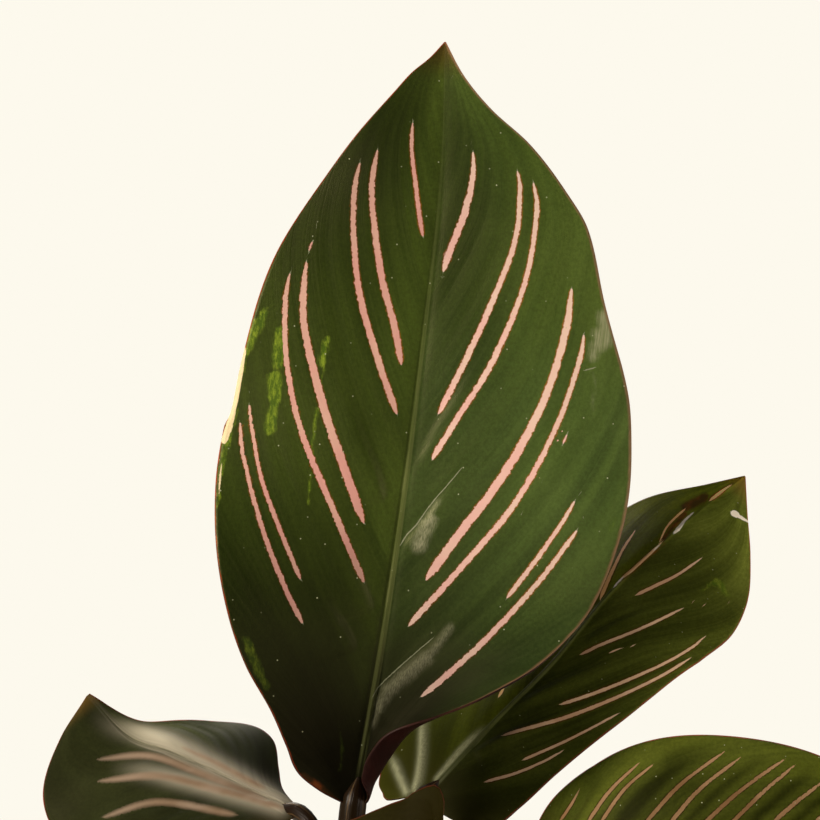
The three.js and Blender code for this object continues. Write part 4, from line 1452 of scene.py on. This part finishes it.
def soilMaterial(name, dark, pale, size, rough):
    material, tree, shader = newMaterial(name)
    earth = useGroup(tree, earthGrain, {"Dark": linear(dark), "Pale": linear(pale), "Size": size})
    feed(tree, shader.inputs, {"Base Color": earth["Color"], "Roughness": rough,
                               "Normal": bumped(tree, earth["Height"], 0.7, 0.0008)})
    return material


def soilHeight(x, y):
    away = math.hypot(x, y) / soil["edge"][0]
    height = soil["top"] + soil["crown"] * (1 - away ** 2) - soil["dip"] * smoothStep(0.93, 1, away)
    height += 1.1 * noise.noise(Vector((x / 9, y / 9, 1))) + 0.7 * noise.noise(Vector((x / 3.2, y / 3.2, 4)))
    return height - soil["settled"]


def addLump(bm, kind, middle, size, shape, turn):
    c, s = math.cos(turn), math.sin(turn)
    lump = bmesh.ops.create_icosphere(bm, subdivisions=1, radius=1)["verts"]
    for vert in lump:
        dent = noise.noise(vert.co * 1.3 + Vector((middle.x, middle.y, 0)))
        spot = vert.co * (1 + 0.35 * dent)
        spot = Vector((spot.x * shape.x, spot.y * shape.y, spot.z * shape.z)) * (size * 0.75)
        vert.co = (middle + Vector((spot.x * c - spot.y * s, spot.x * s + spot.y * c, spot.z))) * mm
    for face in {face for vert in lump for face in vert.link_faces}:
        face.material_index = kind


def makeSoil():
    radius, rings = soil["edge"][0], soil["rings"]
    profile = [(0.0, soil["bottom"][1]), soil["bottom"], soil["middle"], soil["edge"]]
    profile += [(radius * (1 - i / rings), soil["top"]) for i in range(1, rings + 1)]
    bm = turnProfile(profile, soil["steps"])
    for vert in bm.verts:
        if vert.co.z > (soil["top"] - 0.1) * mm:
            vert.co.z = soilHeight(vert.co.x / mm, vert.co.y / mm) * mm
    chance = random.Random(11)
    feet = [Vector(leaf["foot"]) for leaf in leaves.values()]
    lumps = (soil["crumbs"], soil["chips"], soil["perlite"])
    for kind, (count, small, large) in enumerate(lumps, 1):
        made = 0
        while made < count:
            x, y = chance.uniform(-50, 50), chance.uniform(-50, 50)
            room = min((Vector((x, y)) - foot).length for foot in feet)
            if math.hypot(x, y) > soil["margin"] or room < soil["stalkRoom"]:
                continue
            made += 1
            size = chance.uniform(small, large)
            long = chance.uniform(0.5, 0.9)
            high = chance.uniform(0.25, 0.6) if kind == 2 else 0.75
            turn = chance.uniform(0, math.pi)
            middle = Vector((x, y, soilHeight(x, y) + 0.1 * size))
            addLump(bm, kind, middle, size, Vector((1, long, high)), turn)
    finishPiece("potting_soil", bm, [
        soilMaterial("soilEarth", "#120b07", "#3a281b", 320, 0.95),
        soilMaterial("soilCrumb", "#1a110a", "#45301f", 260, 0.95),
        soilMaterial("soilBark", "#2c1a10", "#6b452c", 200, 0.85),
        soilMaterial("soilPerlite", "#b3aa9a", "#e4dfd2", 500, 0.9),
    ], "soil")


makeSoil()

print("pot")

pot = {
    "height": 105,
    "footRadius": 40,
    "shoulderRadius": 54,
    "shoulderHeight": 83,
    "bandRadius": 57.5,
    "topRadius": 60,
    "floor": 7,
    "well": [(36, 7), (49.5, 82), (53.5, 102)],
    "lip": 2,
    "chamfer": 1.5,
    "rounding": 0.7,
    "steps": 120,
    "drains": (4, 4.5, 22),  # count, radius, distance from the middle
}


def potMaterial():
    look = colours(clay="#b5704a", pale="#cf9a76", dark="#8d4f31", bloom="#dcc7ae")
    material, tree, shader = newMaterial("potClay")
    place = objectPlace(tree)
    height = addNode(tree, "ShaderNodeSeparateXYZ", {0: place}).outputs["Z"]
    cloud = remap(tree, noisy(tree, place, 14, 4.0, 0.6), 0.35, 0.68)
    clay = mixed(tree, cloud, look["clay"], look["pale"])
    speck = remap(tree, noisy(tree, place, 420, 3.0, 0.6), 0.58, 0.7)
    clay = mixed(tree, times(tree, speck, 0.5), clay, look["dark"])
    damp = times(tree, remap(tree, height, 0.05, 0.0), remap(tree, noisy(tree, place, 26, 3.0), 0.3, 0.6))
    clay = mixed(tree, times(tree, damp, 0.5), clay, look["dark"])
    white = remap(tree, noisy(tree, place, 30, 5.0, 0.7), 0.52, 0.72)
    clay = mixed(tree, times(tree, white, 0.45), clay, look["bloom"])
    rings = noisy(tree, stretched(tree, place, (6, 6, 900)), 1.0, 2.0)
    grit = timesPlus(tree, noisy(tree, place, 900, 3.0), 0.6, times(tree, rings, 0.7))
    feed(tree, shader.inputs, {
        "Base Color": clay, "Roughness": 0.88, "Normal": bumped(tree, grit, 0.35, 0.0004)})
    return material


def makePot():
    foot, middle, top = pot["well"]
    lip = pot["lip"]
    profile = [
        (0, 0), (pot["footRadius"] - pot["chamfer"], 0), (pot["footRadius"], pot["chamfer"]),
        (pot["shoulderRadius"], pot["shoulderHeight"]), (pot["bandRadius"], pot["shoulderHeight"] + lip),
        (pot["topRadius"], pot["height"] - lip), (pot["topRadius"] - lip, pot["height"]),
        (pot["topRadius"] - 2.5 * lip, pot["height"]), top, middle, (foot[0] + 1, foot[1] + 3),
        (foot[0] - 3, foot[1]), (0, foot[1]),
    ]
    piece = finishPiece("clay_pot", turnProfile(profile, pot["steps"]), [potMaterial()], "pot")
    cutDrains(piece)
    soft = piece.modifiers.new("soft edges", "BEVEL")
    soft.width = pot["rounding"] * mm
    soft.segments = 2
    soft.limit_method = "ANGLE"
    soft.angle_limit = math.radians(25)


def cutDrains(piece):
    count, radius, away = pot["drains"]
    bm = bmesh.new()
    for i in range(count):
        angle = (i + 0.5) * 2 * math.pi / count
        plug = bmesh.ops.create_cone(bm, cap_ends=True, segments=24, radius1=radius * mm,
                                     radius2=radius * mm, depth=3 * pot["floor"] * mm)["verts"]
        shift = Vector((away * math.cos(angle), away * math.sin(angle), pot["floor"] / 2)) * mm
        bmesh.ops.translate(bm, verts=plug, vec=shift)
    plugs = addMesh("drain plugs", bm)
    cut = piece.modifiers.new("drains", "BOOLEAN")
    cut.object = plugs
    cut.operation = "DIFFERENCE"
    cut.solver = "EXACT"
    graph = bpy.context.evaluated_depsgraph_get()
    done = bpy.data.meshes.new_from_object(piece.evaluated_get(graph))
    piece.modifiers.clear()
    piece.data = done
    bpy.data.objects.remove(plugs)


makePot()
